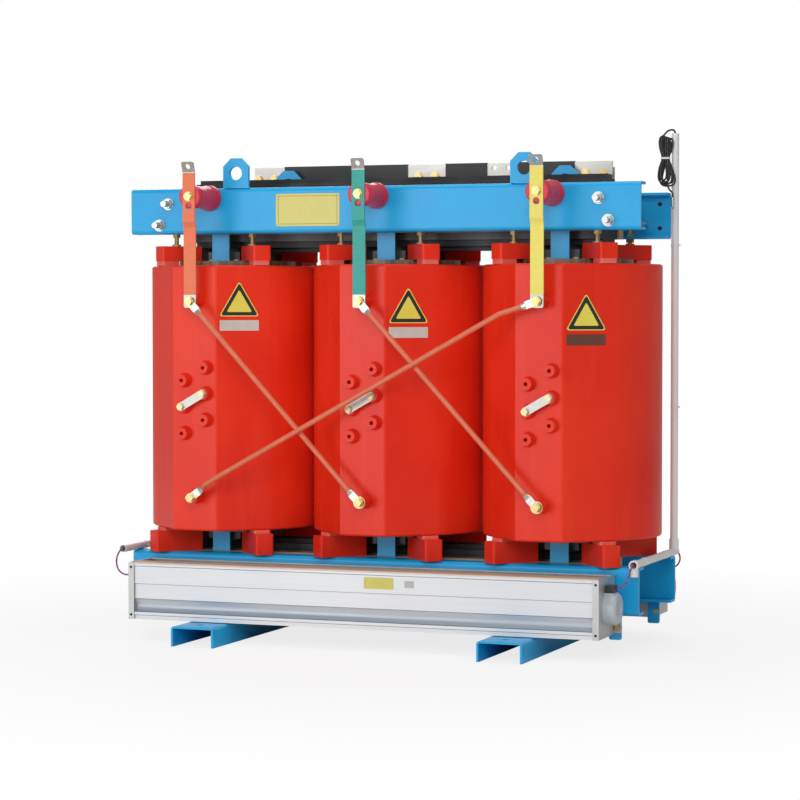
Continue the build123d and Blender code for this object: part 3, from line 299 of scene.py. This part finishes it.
bare_top = 0.029
bare_low = 0.034
strip_low, strip_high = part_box("hv_strip_a")
phase_colours = {"a": ((0.74, 0.14, 0.045), (0.86, 0.20, 0.08)),
                 "b": ((0.008, 0.29, 0.24), (0.020, 0.39, 0.34)),
                 "c": ((0.76, 0.65, 0.080), (0.86, 0.76, 0.16))}
for phase, (deep, bright) in phase_colours.items():
    sleeve = Finish("sleeve_" + phase)
    height = sleeve.axis("Z")
    bare = (height > strip_high.z - bare_top) + (height < strip_low.z + bare_low)
    wrinkle = sleeve.noise(36.0, 3.0, (1.0, 1.0, 2.5))
    tin = sleeve.mix((0.30, 0.28, 0.24), (0.50, 0.48, 0.43), sleeve.noise(90.0, 4.0))
    covered = sleeve.mix(deep, bright, wrinkle)
    sleeve.put(Base_Color=sleeve.mix(covered, tin, bare), Metallic=bare * 0.9,
               Roughness=0.36 + wrinkle * 0.1 - bare * 0.08)
    sleeve.bump(wrinkle, 0.0012, 0.5)
    dress(sleeve, "hv_strip_" + phase)

# ---------------------------------------------------------------- delta rods
# Round copper in a sleeve of orange-brown tubing; the ends are flattened,
# tinned and drilled, and lie flat on the terminals.

lug_reach = 0.043
top_terminal_z = 0.900
low_terminal_z = 0.381


def coil_axis_x(phase):
    """Where a coil's upright axis stands along the row."""
    coil_low, coil_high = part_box("hv_coil_" + phase)
    return (coil_low.x + coil_high.x) / 2


def terminal(phase, height):
    """Front face of one of a coil's terminal bosses."""
    return (coil_axis_x(phase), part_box("hv_coil_" + phase)[0].y, height)


for upper, lower in (("a", "b"), ("b", "c"), ("c", "a")):
    node = "delta_rod_" + upper + lower
    rod = Finish(node + "_sleeve", Coat_Weight=0.2)
    top_lug = rod.near(terminal(upper, top_terminal_z), lug_reach)
    bare = top_lug + rod.near(terminal(lower, low_terminal_z), lug_reach)
    grain = rod.noise(55.0, 4.0)
    tin = rod.mix((0.42, 0.40, 0.36), (0.66, 0.64, 0.59), rod.noise(120.0, 4.0))
    tubing = rod.mix((0.60, 0.110, 0.045), (0.76, 0.175, 0.080), grain)
    rod.put(Base_Color=rod.mix(tubing, tin, bare), Metallic=bare * 0.9, Roughness=0.42 - bare * 0.12)
    rod.bump(grain, 0.0010, 0.5)
    dress(rod, node)

# ---------------------------------------------------------------- fasteners and bars
# Yellow-passivated bolts and pressure screws, bright zinc tie rods with rolled
# thread, tinned copper bars, and tin-plated tap links with yellow bolt heads.
# Black shrunk sleeves cover the neutral bus between its joints.


def plated(name, deep, bright, scale, gloss):
    """Plated steel whose tint and gloss drift a little."""
    made = Finish(name, Metallic=0.9)
    drift = made.noise(scale)
    return made.put(Base_Color=made.mix(deep, bright, drift), Roughness=drift * 0.2 + gloss)


gold = plated("yellow_zinc", (0.50, 0.36, 0.13), (0.72, 0.60, 0.30), 130.0, 0.22)
gold.bump(gold.noise(500.0, 2.0), 0.0002, 0.4)
dress(gold, "hv_bolts", "lv_bolts", "bracket_bolts")

thread_pitch = 0.00175
screw = plated("pressure_screw", (0.48, 0.36, 0.16), (0.68, 0.56, 0.30), 130.0, 0.25)
screw.bump(screw.axis("Z").wave(thread_pitch), 0.0006, 0.6)
dress(screw, "pressure_bolts")

zinc = plated("bright_zinc", (0.42, 0.43, 0.43), (0.62, 0.63, 0.63), 110.0, 0.22)
zinc.bump(zinc.axis("Y").wave(thread_pitch), 0.0006, 0.5)
dress(zinc, "clamp_tie_rods")

tinned = Finish("tinned_copper", Metallic=0.85)
rolled = tinned.noise(70.0, 4.0, (0.2, 1.0, 1.0))
tinned.put(Base_Color=tinned.mix((0.42, 0.41, 0.38), (0.64, 0.63, 0.60), rolled),
           Roughness=rolled * 0.2 + 0.28)
tinned.bump(rolled, 0.0003, 0.4)
dress(tinned, "neutral_bus", "neutral_leads", "lv_phase_bars")

head_height = 0.0055
taps = Finish("tap_link_and_bolts", Metallic=0.85)
heads = taps.axis("Y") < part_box("tap_links")[0].y + head_height
plating = taps.noise(90.0, 4.0)
link = taps.mix((0.40, 0.39, 0.36), (0.60, 0.59, 0.56), plating)
taps.put(Base_Color=taps.mix(link, (0.68, 0.56, 0.28), heads), Roughness=plating * 0.2 + 0.30)
taps.bump(plating, 0.0002, 0.4)
dress(taps, "tap_links")

shrink = Finish("black_sleeve")
crease = shrink.noise(30.0, 3.0, (0.4, 1.0, 1.0))
shrink.put(Base_Color=shrink.mix((0.010, 0.010, 0.012), (0.030, 0.030, 0.034), crease),
           Roughness=crease * 0.2 + 0.32)
shrink.bump(crease, 0.0015, 0.5)
dress(shrink, "bus_sleeves")

# ---------------------------------------------------------------- cross-flow fans
# Bright anodised aluminium walls drawn along their length; painted shade darkens
# the folds into thin lines, and painted shade with a painted bluish reflection
# darkens the hollow band towards its bottom. Satin end plates and impellers, a
# grey enamelled motor, and a strip of brown fibre board on the top lip.

band_up = 0.020
band_down = 0.097
fold_downs = (0.0095, 0.0565, 0.0965, 0.1310, 0.1400)
fold_half = 0.0007
fan_low, fan_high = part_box("fan_casing_front")
band_low = fan_low.z + band_up
band_high = fan_high.z - band_down
wall = Finish("drawn_aluminium", Metallic=0.35)
drawn = wall.noise(60.0, 4.0, (0.03, 1.0, 6.0))
height = wall.axis("Z")
# Painted shade and a painted bluish reflection: the hollow band grows darker and bluer towards its bottom.
painted_hollow_shade = (height > band_low) * wall.blotch(height * -1.0, -band_high, -band_low)
smear = wall.blotch(wall.noise(3.0, 2.0), 0.45, 0.7)
# Painted shade: thin dark lines along the wall's folds.
painted_fold_shade = 0.0
for fold_down in fold_downs:
    fold_z = fan_high.z - fold_down
    painted_fold_shade = (height > fold_z - fold_half) * (height < fold_z + fold_half) + painted_fold_shade
bright = wall.mix((0.64, 0.66, 0.68), (0.78, 0.80, 0.82), drawn)
# This bluish grey is the painted shade and reflection of the hollow.
with_hollow_shade = wall.mix(bright, (0.14, 0.22, 0.30), painted_hollow_shade * 0.8)
# Over that, painted shade darkens the folds.
wall.put(Base_Color=wall.mix(with_hollow_shade, (0.10, 0.11, 0.12), painted_fold_shade * 0.75),
         Roughness=drawn * 0.12 + smear * 0.08 + 0.34)
wall.bump(drawn, 0.0002, 0.35)
dress(wall, "fan_casing_front", "fan_casing_rear")

satin = Finish("satin_aluminium", Metallic=0.6)
brushed = satin.noise(80.0, 4.0, (1.0, 1.0, 0.1))
satin.put(Base_Color=satin.mix((0.46, 0.47, 0.47), (0.64, 0.65, 0.65), brushed),
          Roughness=brushed * 0.15 + 0.32)
satin.bump(brushed, 0.0002, 0.4)
dress(satin, "fan_tongues", "fan_end_plates", "fan_impeller_front", "fan_impeller_rear")

block_height = 0.018
enamel = Finish("motor_enamel", Coat_Weight=0.2)
mottle = enamel.noise(45.0, 4.0)
block = enamel.axis("Z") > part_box("fan_motor_front")[1].z - block_height
grey = enamel.mix((0.40, 0.45, 0.50), (0.56, 0.60, 0.64), mottle)
enamel.put(Base_Color=enamel.mix(grey, (0.030, 0.026, 0.024), block), Roughness=mottle * 0.1 + 0.35)
enamel.bump(enamel.noise(350.0, 2.0), 0.0003, 0.4)
dress(enamel, "fan_motor_front", "fan_motor_rear")

fibre = Finish("fibre_board", Roughness=0.8)
fleck = fibre.noise(160.0, 5.0, (0.25, 1.0, 1.0))
age = fibre.blotch(fibre.noise(6.0, 3.0), 0.4, 0.7)
board = fibre.mix((0.52, 0.34, 0.20), (0.74, 0.55, 0.38), fleck)
fibre.put(Base_Color=fibre.mix(board, (0.40, 0.25, 0.15), age * 0.4))
fibre.bump(fleck, 0.0006, 0.6)
dress(fibre, "fan_cover_strips")

# ---------------------------------------------------------------- casing screws
# Blackened socket screws hold the walls to the end plates, two at each end
# of a fan; they sit in the recesses of the folded flange.


def new_piece(name, mesh, finish):
    """Links a fixed mesh, dresses it, and hangs it on the root body."""
    mesh.materials.append(finish.material)
    made = bpy.data.objects.new(name, mesh)
    scene.collection.objects.link(made)
    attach(made, "root")
    return made


def finished_mesh(name, work):
    """Mesh of a worked-up piece."""
    mesh = bpy.data.meshes.new(name)
    work.to_mesh(mesh)
    work.free()
    return mesh


def stand(work, place, axis):
    """Moves a piece built upright at the origin to its place, pointing along an axis."""
    spin = Vector((0, 0, 1)).rotation_difference(Vector(axis)).to_matrix().to_4x4()
    bmesh.ops.transform(work, matrix=Matrix.Translation(place) @ spin, verts=work.verts)


def turned(name, profile, place, axis, finish, sides, socket=0.0):
    """(radius, height) pairs swept round an axis, with an optional socket sunk in the end face."""
    work = bmesh.new()
    rings = []
    for radius, height in profile:
        ring = []
        for i in range(sides):
            turn = 2 * math.pi * i / sides
            ring.append(work.verts.new((radius * math.cos(turn), radius * math.sin(turn), height)))
        rings.append(ring)
    for lower, upper in zip(rings, rings[1:]):
        for i in range(sides):
            work.faces.new((lower[i], lower[(i + 1) % sides], upper[(i + 1) % sides], upper[i]))
    work.faces.new(list(reversed(rings[0])))
    end = work.faces.new(rings[-1])
    if socket:
        bmesh.ops.inset_region(work, faces=[end], thickness=socket, depth=0.0)
        bmesh.ops.translate(work, verts=end.verts, vec=(0, 0, -socket))
    stand(work, place, axis)
    mesh = finished_mesh(name, work)
    for face in mesh.polygons:
        face.use_smooth = len(face.vertices) == 4
    mesh.set_sharp_from_angle(angle=math.radians(35))
    return new_piece(name, mesh, finish)


black_steel = mottled("blackened_steel", (0.010, 0.010, 0.011), (0.035, 0.035, 0.038), 200.0,
                      Metallic=0.6, Roughness=0.4)
screw_head = ((0.0032, 0.0), (0.0032, 0.0016), (0.0026, 0.0022))
screw_socket = 0.0008
screw_in = 0.012
recess = 0.0012
end_plate = 0.003
flange_half = 0.008
plates_low, plates_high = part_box("fan_end_plates")
flange_middle = fan_high.x + end_plate - flange_half
for word, toward, face_y in (("front", -1, plates_low.y), ("rear", 1, plates_high.y)):
    for side, side_word in ((-1, "left"), (1, "right")):
        for up, up_word in ((plates_low.z + screw_in, "low"), (plates_high.z - screw_in, "high")):
            turned(f"casing_screw_{word}_{side_word}_{up_word}", screw_head,
                   (side * flange_middle, face_y - toward * recess, up), (0, toward, 0),
                   black_steel, sides=24, socket=screw_socket)

# ---------------------------------------------------------------- end plugs
# Plugs pressed into the upper clamps' spare end holes, flush with the web:
# painted over with the clamp in front, plain black at the rear.

plug_in = 0.029
plug_r = 0.0058
clamp_wall = 0.007
plug = ((plug_r, 0.0), (plug_r, clamp_wall))
for clamp, toward, plug_finish in (("front", -1, azure), ("rear", 1, black_steel)):
    web_low, web_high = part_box("upper_clamp_" + clamp)
    web_y = web_low.y if toward < 0 else web_high.y
    for side, side_word, end_x in ((-1, "left", web_low.x), (1, "right", web_high.x)):
        for up, up_word in ((web_low.z + plug_in, "low"), (web_high.z - plug_in, "high")):
            turned(f"end_plug_{clamp}_{side_word}_{up_word}", plug,
                   (end_x - side * plug_in, web_y - toward * clamp_wall, up), (0, toward, 0),
                   plug_finish, sides=32)

# ---------------------------------------------------------------- rating plate
# Blank yellow metal plate with a thin printed frame, held to the front upper
# clamp by four small rivets.


def flat_plate(name, corners, thickness, place, across, up, finish, rim=0.0006):
    """Thin plate from an outline in its own plane, with a small rolled edge."""
    facing = Vector(across).cross(Vector(up)).normalized()
    work = bmesh.new()
    outline = [Vector(place) + Vector(across) * x + Vector(up) * y for x, y in corners]
    front = [work.verts.new(point + facing * (thickness - rim / 3)) for point in outline]
    back = [work.verts.new(point) for point in outline]
    count = len(corners)
    face = work.faces.new(front)
    work.faces.new(list(reversed(back)))
    for i in range(count):
        work.faces.new((back[i], back[(i + 1) % count], front[(i + 1) % count], front[i]))
    bmesh.ops.inset_region(work, faces=[face], thickness=rim, depth=rim / 3)
    return new_piece(name, finished_mesh(name, work), finish)


def box_corners(width, height):
    """Rectangle about the origin."""
    x, y = width / 2, height / 2
    return ((-x, -y), (x, -y), (x, y), (-x, y))


def round_corners(points, radius, steps=5):
    """Outline with its corners rounded."""
    made = []
    count = len(points)
    for i in range(count):
        corner = Vector(points[i])
        into = (Vector(points[i - 1]) - corner).normalized()
        out = (Vector(points[(i + 1) % count]) - corner).normalized()
        reach = radius / math.tan(into.angle(out) / 2)
        start = corner + into * reach
        end = corner + out * reach
        for k in range(steps + 1):
            t = k / steps
            made.append(tuple(start * (1 - t) ** 2 + corner * 2 * t * (1 - t) + end * t ** 2))
    return made


plate_yellow = Finish("plate_yellow", Coat_Weight=0.3)
rub = plate_yellow.noise(24.0, 4.0)
plate_yellow.put(Base_Color=plate_yellow.mix((0.56, 0.50, 0.08), (0.66, 0.60, 0.13), rub),
                 Roughness=rub * 0.1 + 0.3)
plate_width = 0.182
plate_height = 0.086
plate_thick = 0.0012
clamp_low, clamp_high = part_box("upper_clamp_front")
plate_middle = Vector((-0.196, clamp_low.y, (clamp_low.z + clamp_high.z) / 2))
along_x = Vector((1, 0, 0))
along_z = Vector((0, 0, 1))
flat_plate("rating_plate", round_corners(box_corners(plate_width, plate_height), 0.004), plate_thick,
           plate_middle, along_x, along_z, plate_yellow)

print_brown = mottled("plate_line", (0.26, 0.17, 0.03), (0.36, 0.25, 0.05), 60.0, Roughness=0.5)
print_width = 0.0010
print_out = Vector((0, -0.0013, 0))
frame_width = 0.168
frame_height = 0.074
for part, width, height, dx, dz in (("top", frame_width, print_width, 0, frame_height / 2),
                                    ("low", frame_width, print_width, 0, -frame_height / 2),
                                    ("left", print_width, frame_height, -frame_width / 2, 0),
                                    ("right", print_width, frame_height, frame_width / 2, 0)):
    flat_plate("rating_plate_line_" + part, box_corners(width, height), 0.0003,
               plate_middle + print_out + Vector((dx, 0, dz)), along_x, along_z, print_brown,
               rim=0.0001)

rivet_in = 0.004
rivet_head = ((0.0024, 0.0), (0.0022, 0.0008), (0.0012, 0.0014))
for side, side_word in ((-1, "left"), (1, "right")):
    for rise, rise_word in ((-1, "low"), (1, "high")):
        corner = Vector((side * (plate_width / 2 - rivet_in), 0, rise * (plate_height / 2 - rivet_in)))
        turned(f"rating_rivet_{side_word}_{rise_word}", rivet_head, plate_middle + print_out * 0.9 + corner,
               (0, -1, 0), tinned, sides=20)

# ---------------------------------------------------------------- warning triangles
# Blank triangles with a yellow rim and field and a black border, each over a
# blank strip, glued to the coil's flat between the panel's fold and the round.

coil_radius = 0.235
panel_right = 0.054
panel_y = -0.263
triangle_along = 0.064
fold = Vector((panel_right, panel_y, 0))
touch = math.atan2(panel_y, panel_right) + math.acos(coil_radius / fold.length)
flat_end = Vector((coil_radius * math.cos(touch), coil_radius * math.sin(touch), 0))
flat_along = (flat_end - fold).normalized()
flat_middle = fold + flat_along * triangle_along
flat_facing = flat_along.cross(along_z).normalized()

warning_yellow = mottled("warning_yellow", (0.76, 0.64, 0.06), (0.84, 0.74, 0.12), 30.0,
                         Coat_Weight=0.3, Roughness=0.35)
warning_black = mottled("warning_black", (0.008, 0.008, 0.008), (0.025, 0.025, 0.025), 30.0,
                        Coat_Weight=0.3, Roughness=0.38)
pale = mottled("pale_strip", (0.56, 0.54, 0.48), (0.66, 0.64, 0.58), 40.0, Roughness=0.45)
dark = mottled("dark_strip", (0.10, 0.035, 0.02), (0.16, 0.05, 0.03), 40.0, Roughness=0.45)

triangle_half = 0.056
triangle_height = 0.094
triangle_down = 0.136
strip_width = 0.108
strip_height = 0.028
strip_down = 0.024
film = 0.0006
ink = 0.0002


def shrunk(outline, scale, rise):
    """The same outline smaller, and lifted towards the middle of the first."""
    return [(x * scale, rise + y * scale) for x, y in outline]


triangle = ((-triangle_half, 0), (triangle_half, 0), (0, triangle_height))
border = shrunk(triangle, 0.92, 0.0026)
field = shrunk(triangle, 0.63, 0.0116)
for phase, drop, strip in (("a", 0.0, pale), ("b", 0.017, pale), ("c", 0.034, dark)):
    coil = "hv_coil_" + phase
    base = Vector((coil_axis_x(phase), 0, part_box(coil)[1].z - triangle_down - drop)) + flat_middle
    flat_plate("warning_rim_" + phase, round_corners(triangle, 0.006), film, base,
               flat_along, along_z, warning_yellow, rim=0.0003)
    flat_plate("warning_border_" + phase, round_corners(border, 0.005), ink, base + flat_facing * film,
               flat_along, along_z, warning_black, rim=0.0001)
    flat_plate("warning_field_" + phase, round_corners(field, 0.003), 2 * ink,
               base + flat_facing * (film + ink), flat_along, along_z, warning_yellow, rim=0.0001)
    flat_plate("warning_strip_" + phase, round_corners(box_corners(strip_width, strip_height), 0.002), 0.0008,
               base - along_z * strip_down, flat_along, along_z, strip, rim=0.0003)

# ---------------------------------------------------------------- fan stickers
# Two small blank paper stickers, one yellow and one off-white, stuck side by
# side on the upper flat of the front fan's wall.

sticker_in = 0.003
sticker_down = 0.030
sticker_thick = 0.0005
paper = mottled("sticker_white", (0.40, 0.40, 0.39), (0.52, 0.52, 0.51), 50.0, Roughness=0.5)
for word, x, width, height, corner_r, finish in (("yellow", 0.062, 0.082, 0.030, 0.002, plate_yellow),
                                                 ("white", 0.146, 0.026, 0.018, 0.001, paper)):
    flat_plate("fan_sticker_" + word, round_corners(box_corners(width, height), corner_r), sticker_thick,
               (x, fan_low.y + sticker_in, fan_high.z - sticker_down), along_x, along_z, finish,
               rim=0.0002)

# ---------------------------------------------------------------- conduits
# White rigid plastic pipe resting on the lower clamps' ends, strapped with
# natural nylon ties; it carries the sensor cable and the fan leads.

pvc = Finish("white_conduit")
cast = pvc.noise(12.0, 3.0)
pvc.put(Base_Color=pvc.mix((0.74, 0.72, 0.71), (0.84, 0.83, 0.82), cast), Roughness=cast * 0.1 + 0.35)
pvc.bump(pvc.noise(140.0, 2.0), 0.0003, 0.4)
dress(pvc, "conduit_right", "conduit_left")

nylon = mottled("nylon_tie", (0.74, 0.74, 0.70), (0.86, 0.86, 0.82), 80.0, Roughness=0.4)
pipe_r = 0.010
band_inner = pipe_r + 0.0001
band_outer = pipe_r + 0.0010
band_half = 0.0018
band_section = ((band_inner, -band_half), (band_outer, -band_half), (band_outer, band_half),
                (band_inner, band_half))
buckle_out = 0.0025
buckle = (0.0035, 0.0050, 0.0045)


def tie_ring(name, place, axis, sides=36):
    """Nylon band round a pipe with its square buckle."""
    work = bmesh.new()
    rings = []
    for i in range(sides):
        turn = 2 * math.pi * i / sides
        rings.append([work.verts.new((r * math.cos(turn), r * math.sin(turn), h)) for r, h in band_section])
    for ring, after in zip(rings, rings[1:] + rings[:1]):
        for k in range(4):
            work.faces.new((ring[k], after[k], after[(k + 1) % 4], ring[(k + 1) % 4]))
    bmesh.ops.create_cube(work, size=1.0, matrix=Matrix.Translation((pipe_r + buckle_out, 0, 0))
                          @ Matrix.Diagonal((*buckle, 1)))
    stand(work, place, axis)
    bmesh.ops.recalc_face_normals(work, faces=work.faces)
    return new_piece(name, finished_mesh(name, work), nylon)


left_low, left_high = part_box("conduit_left")
pipe_z = (left_low.z + left_high.z) / 2
left_x = (left_low.x + left_high.x) / 2
for x, word in ((left_x, "left"), (-left_x, "right")):
    for y, place_word in ((-0.120, "front"), (0.090, "rear")):
        tie_ring(f"conduit_tie_{word}_{place_word}", (x, y, pipe_z), (0, 1, 0))
riser_y = 0.185
for z, word in ((0.62, "low"), (1.05, "high")):
    tie_ring("riser_tie_" + word, (-left_x, riser_y, z), (0, 0, 1))

# ---------------------------------------------------------------- sensor cable
# Black sheathed probe cable: it comes out of the riser's mouth, folds over
# the rim, and the rest is tied in a hank beside the riser; its tip hangs down.

sheath = Finish("black_sheath")
gloss = sheath.noise(90.0, 3.0)
sheath.put(Base_Color=sheath.mix((0.012, 0.012, 0.013), (0.040, 0.040, 0.043), gloss),
           Roughness=gloss * 0.15 + 0.34)
sheath.bump(sheath.noise(400.0, 2.0), 0.0002, 0.3)


def route_curve(name, points, thickness=0.0):
    """Smooth open route with the given points as its control points."""
    data = bpy.data.curves.new(name, "CURVE")
    data.dimensions = "3D"
    data.resolution_u = 6
    data.bevel_depth = thickness
    data.bevel_resolution = 3
    data.use_fill_caps = True
    spline = data.splines.new("NURBS")
    spline.points.add(len(points) - 1)
    for slot, point in zip(spline.points, points):
        slot.co = (*point, 1.0)
    spline.order_u = 3
    spline.use_endpoint_u = True
    made = bpy.data.objects.new(name, data)
    scene.collection.objects.link(made)
    return made


cable_r = 0.0025
sensor_out = [(0.7073, 0.185, 1.336), (0.7073, 0.185, 1.353), (0.700, 0.176, 1.356), (0.690, 0.166, 1.352)]
sensor_tail = [(0.693, 0.163, 1.2015), (0.699, 0.163, 1.194), (0.706, 0.163, 1.189), (0.706, 0.163, 1.176)]
hank_low, hank_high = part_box("sensor_hank")
hank_x = (hank_low.x + hank_high.x) / 2
hank_y = (hank_low.y + hank_high.y) / 2
waist_z = 1.280
tie_reach = 0.010
hank_rows = 3


def hank_turn(row, inner):
    """One turn of the hank, down its left side and up its right, pinched at the waist."""
    layer_y = hank_y + (row - 1) * 2 * cable_r
    spread = (row - 1) * 0.0012
    lean = (row - 1) * 0.0040
    top = hank_high.z + 0.004 - 0.0055 * inner - 0.0015 * row
    low = hank_low.z + cable_r + 0.0065 * inner + 0.0045 * (2 - row)
    pinch = cable_r * (1.05 if inner else 3.0)
    head = (0.0072 if inner else 0.0122) + 0.0014 * row
    foot = (0.0088 if inner else 0.0148) + 0.0034 * row
    side = [(-head * 0.72, top - 0.003), (-head, top - 0.014), (-(head + pinch) / 2 - 0.0005, top - 0.034),
            (-pinch, waist_z + 0.006), (-pinch, waist_z - 0.006), (-(foot + pinch) / 2, low + 0.042),
            (-foot, low + 0.018), (-foot * 0.78, low + 0.004)]

    def loose(x, z):
        """The turns lean apart only where the tie lets them."""
        freed = min(1.0, max(0.0, abs(z - waist_z) / tie_reach - 0.7))
        return (hank_x + lean * freed + x, layer_y + spread * (1 if z < waist_z else 0.4), z)

    left = [loose(x, z) for x, z in side]
    right = [loose(-x, z) for x, z in reversed(side)]
    return [(hank_x + lean, layer_y, top)] + left + [(hank_x + lean, layer_y, low)] + right


sensor_route = list(sensor_out)
for row in range(hank_rows):
    for inner in (0, 1):
        sensor_route += hank_turn(row, inner)
last_y = hank_y + 2 * cable_r
sensor_route += [(hank_x, last_y, hank_high.z - 0.014), (hank_x - 0.009, last_y, hank_high.z - 0.030),
                 (hank_x - 0.004, last_y, waist_z), (hank_x + 0.003, last_y, waist_z - 0.035), *sensor_tail]
sensor = route_curve("sensor_cable_black", sensor_route, cable_r)
sensor.data.materials.append(sheath.material)
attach(sensor, "root")
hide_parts("sensor_cable", "sensor_hank")
probe = mottled("probe_tip", (0.50, 0.50, 0.50), (0.72, 0.72, 0.72), 150.0, Metallic=0.8, Roughness=0.3)
dress(probe, "sensor_plug")

# ---------------------------------------------------------------- hank tie
# Natural nylon tie drawn tight round the hank's waist, its loop rounded by
# the strands that it gathers.

tie_play = 0.0006
waist_half = 4 * cable_r + tie_play
depth_half = 3 * cable_r + tie_play
tie_outline = round_corners(box_corners(2 * waist_half, 2 * depth_half), 0.003)
tie_half = 0.0024
tie_grow = 1.10
tie_work = bmesh.new()
loops = []
for grow, z in ((1.0, -tie_half), (tie_grow, -tie_half), (tie_grow, tie_half), (1.0, tie_half)):
    loops.append([tie_work.verts.new((hank_x + x * grow, hank_y + y * grow, waist_z + z))
                  for x, y in tie_outline])
for first, second in zip(loops, loops[1:] + loops[:1]):
    for i in range(len(tie_outline)):
        j = (i + 1) % len(tie_outline)
        tie_work.faces.new((first[i], first[j], second[j], second[i]))
bmesh.ops.recalc_face_normals(tie_work, faces=tie_work.faces)
new_piece("hank_tie", finished_mesh("hank_tie", tie_work), nylon)

# ---------------------------------------------------------------- fan leads
# Red, blue and violet single wires twisted together; they come out of the
# conduits' open ends and go to the fan ends.

strand_colours = (("red", (0.62, 0.02, 0.03), (0.75, 0.05, 0.05)),
                  ("blue", (0.02, 0.10, 0.50), (0.04, 0.18, 0.62)),
                  ("violet", (0.20, 0.02, 0.16), (0.32, 0.05, 0.26)))
strands = [mottled("wire_" + colour, deep, bright, 200.0, Roughness=0.38)
           for colour, deep, bright in strand_colours]
strand_r = 0.00115
strand_offset = 0.00134
strand_sides = 8
twist_pitch = 0.016
twist_step = 0.0012


def route_line(name, points):
    """Points along the smooth route itself."""
    guide = route_curve(name, points)
    line = bpy.data.meshes.new_from_object(guide)
    path = [vertex.co.copy() for vertex in line.vertices]
    bpy.data.objects.remove(guide)
    bpy.data.meshes.remove(line)
    return path


def short_steps(path):
    """The same line in steps short enough for the twist."""
    fine = []
    for start, end in zip(path, path[1:]):
        steps = max(1, round((end - start).length / twist_step))
        fine += [start.lerp(end, k / steps) for k in range(steps)]
    return fine + [path[-1]]


def circle_point(middle, side_axis, other_axis, turn, radius):
    """Point at an angle on a circle that faces along the route."""
    return middle + (side_axis * math.cos(turn) + other_axis * math.sin(turn)) * radius


def wound_rings(work, line):
    """Rings of each strand, wound round the line at the twist's pitch."""
    side_axis = Vector((0, 0, 1))
    travelled = 0.0
    rings = [[] for _ in strands]
    for i, point in enumerate(line):
        ahead = (line[min(i + 1, len(line) - 1)] - line[max(i - 1, 0)]).normalized()
        side_axis = (side_axis - ahead * side_axis.dot(ahead)).normalized()
        other_axis = ahead.cross(side_axis)
        if i:
            travelled += (point - line[i - 1]).length
        for k in range(len(strands)):
            turn = 2 * math.pi * (travelled / twist_pitch + k / len(strands))
            middle = circle_point(point, side_axis, other_axis, turn, strand_offset)
            rim = [circle_point(middle, side_axis, other_axis, 2 * math.pi * s / strand_sides, strand_r)
                   for s in range(strand_sides)]
            rings[k].append([work.verts.new(place) for place in rim])
    return rings


def twisted_lead(name, points, node):
    """Three wires wound round the route's own smooth line."""
    path = route_line(name + "_guide", points)
    work = bmesh.new()
    for k, strand in enumerate(wound_rings(work, short_steps(path))):
        for lower, upper in zip(strand, strand[1:]):
            for s in range(strand_sides):
                after = (s + 1) % strand_sides
                face = work.faces.new((lower[s], lower[after], upper[after], upper[s]))
                face.material_index = k
                face.smooth = True
        for cap in (list(reversed(strand[0])), strand[-1]):
            work.faces.new(cap).material_index = k
    mesh = finished_mesh(name, work)
    for strand in strands:
        mesh.materials.append(strand.material)
    made = bpy.data.objects.new(name, mesh)
    scene.collection.objects.link(made)
    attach(made, "root")
    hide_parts(node)


lead_right = [(0.7073, -0.208, 0.234), (0.7073, -0.226, 0.234), (0.706, -0.241, 0.225),
              (0.704, -0.250, 0.209), (0.699, -0.256, 0.193), (0.688, -0.259, 0.181),
              (0.6749, -0.260, 0.178)]
lead_left = [(-0.7073, -0.246, 0.234), (-0.7073, -0.264, 0.234), (-0.710, -0.278, 0.224),
             (-0.713, -0.284, 0.207), (-0.711, -0.285, 0.188), (-0.702, -0.284, 0.173),
             (-0.686, -0.282, 0.166), (-0.668, -0.281, 0.168), (-0.6513, -0.280, 0.170)]
lead_rear = [(0.7073, 0.194, 0.234), (0.7073, 0.213, 0.234), (0.710, 0.228, 0.226),
             (0.711, 0.240, 0.211), (0.704, 0.250, 0.195), (0.690, 0.256, 0.184),
             (0.6749, 0.258, 0.180)]
twisted_lead("lead_right_twisted", lead_right, "fan_lead_right")
twisted_lead("lead_left_twisted", lead_left, "fan_lead_left")
twisted_lead("lead_rear_twisted", lead_rear, "fan_lead_rear")
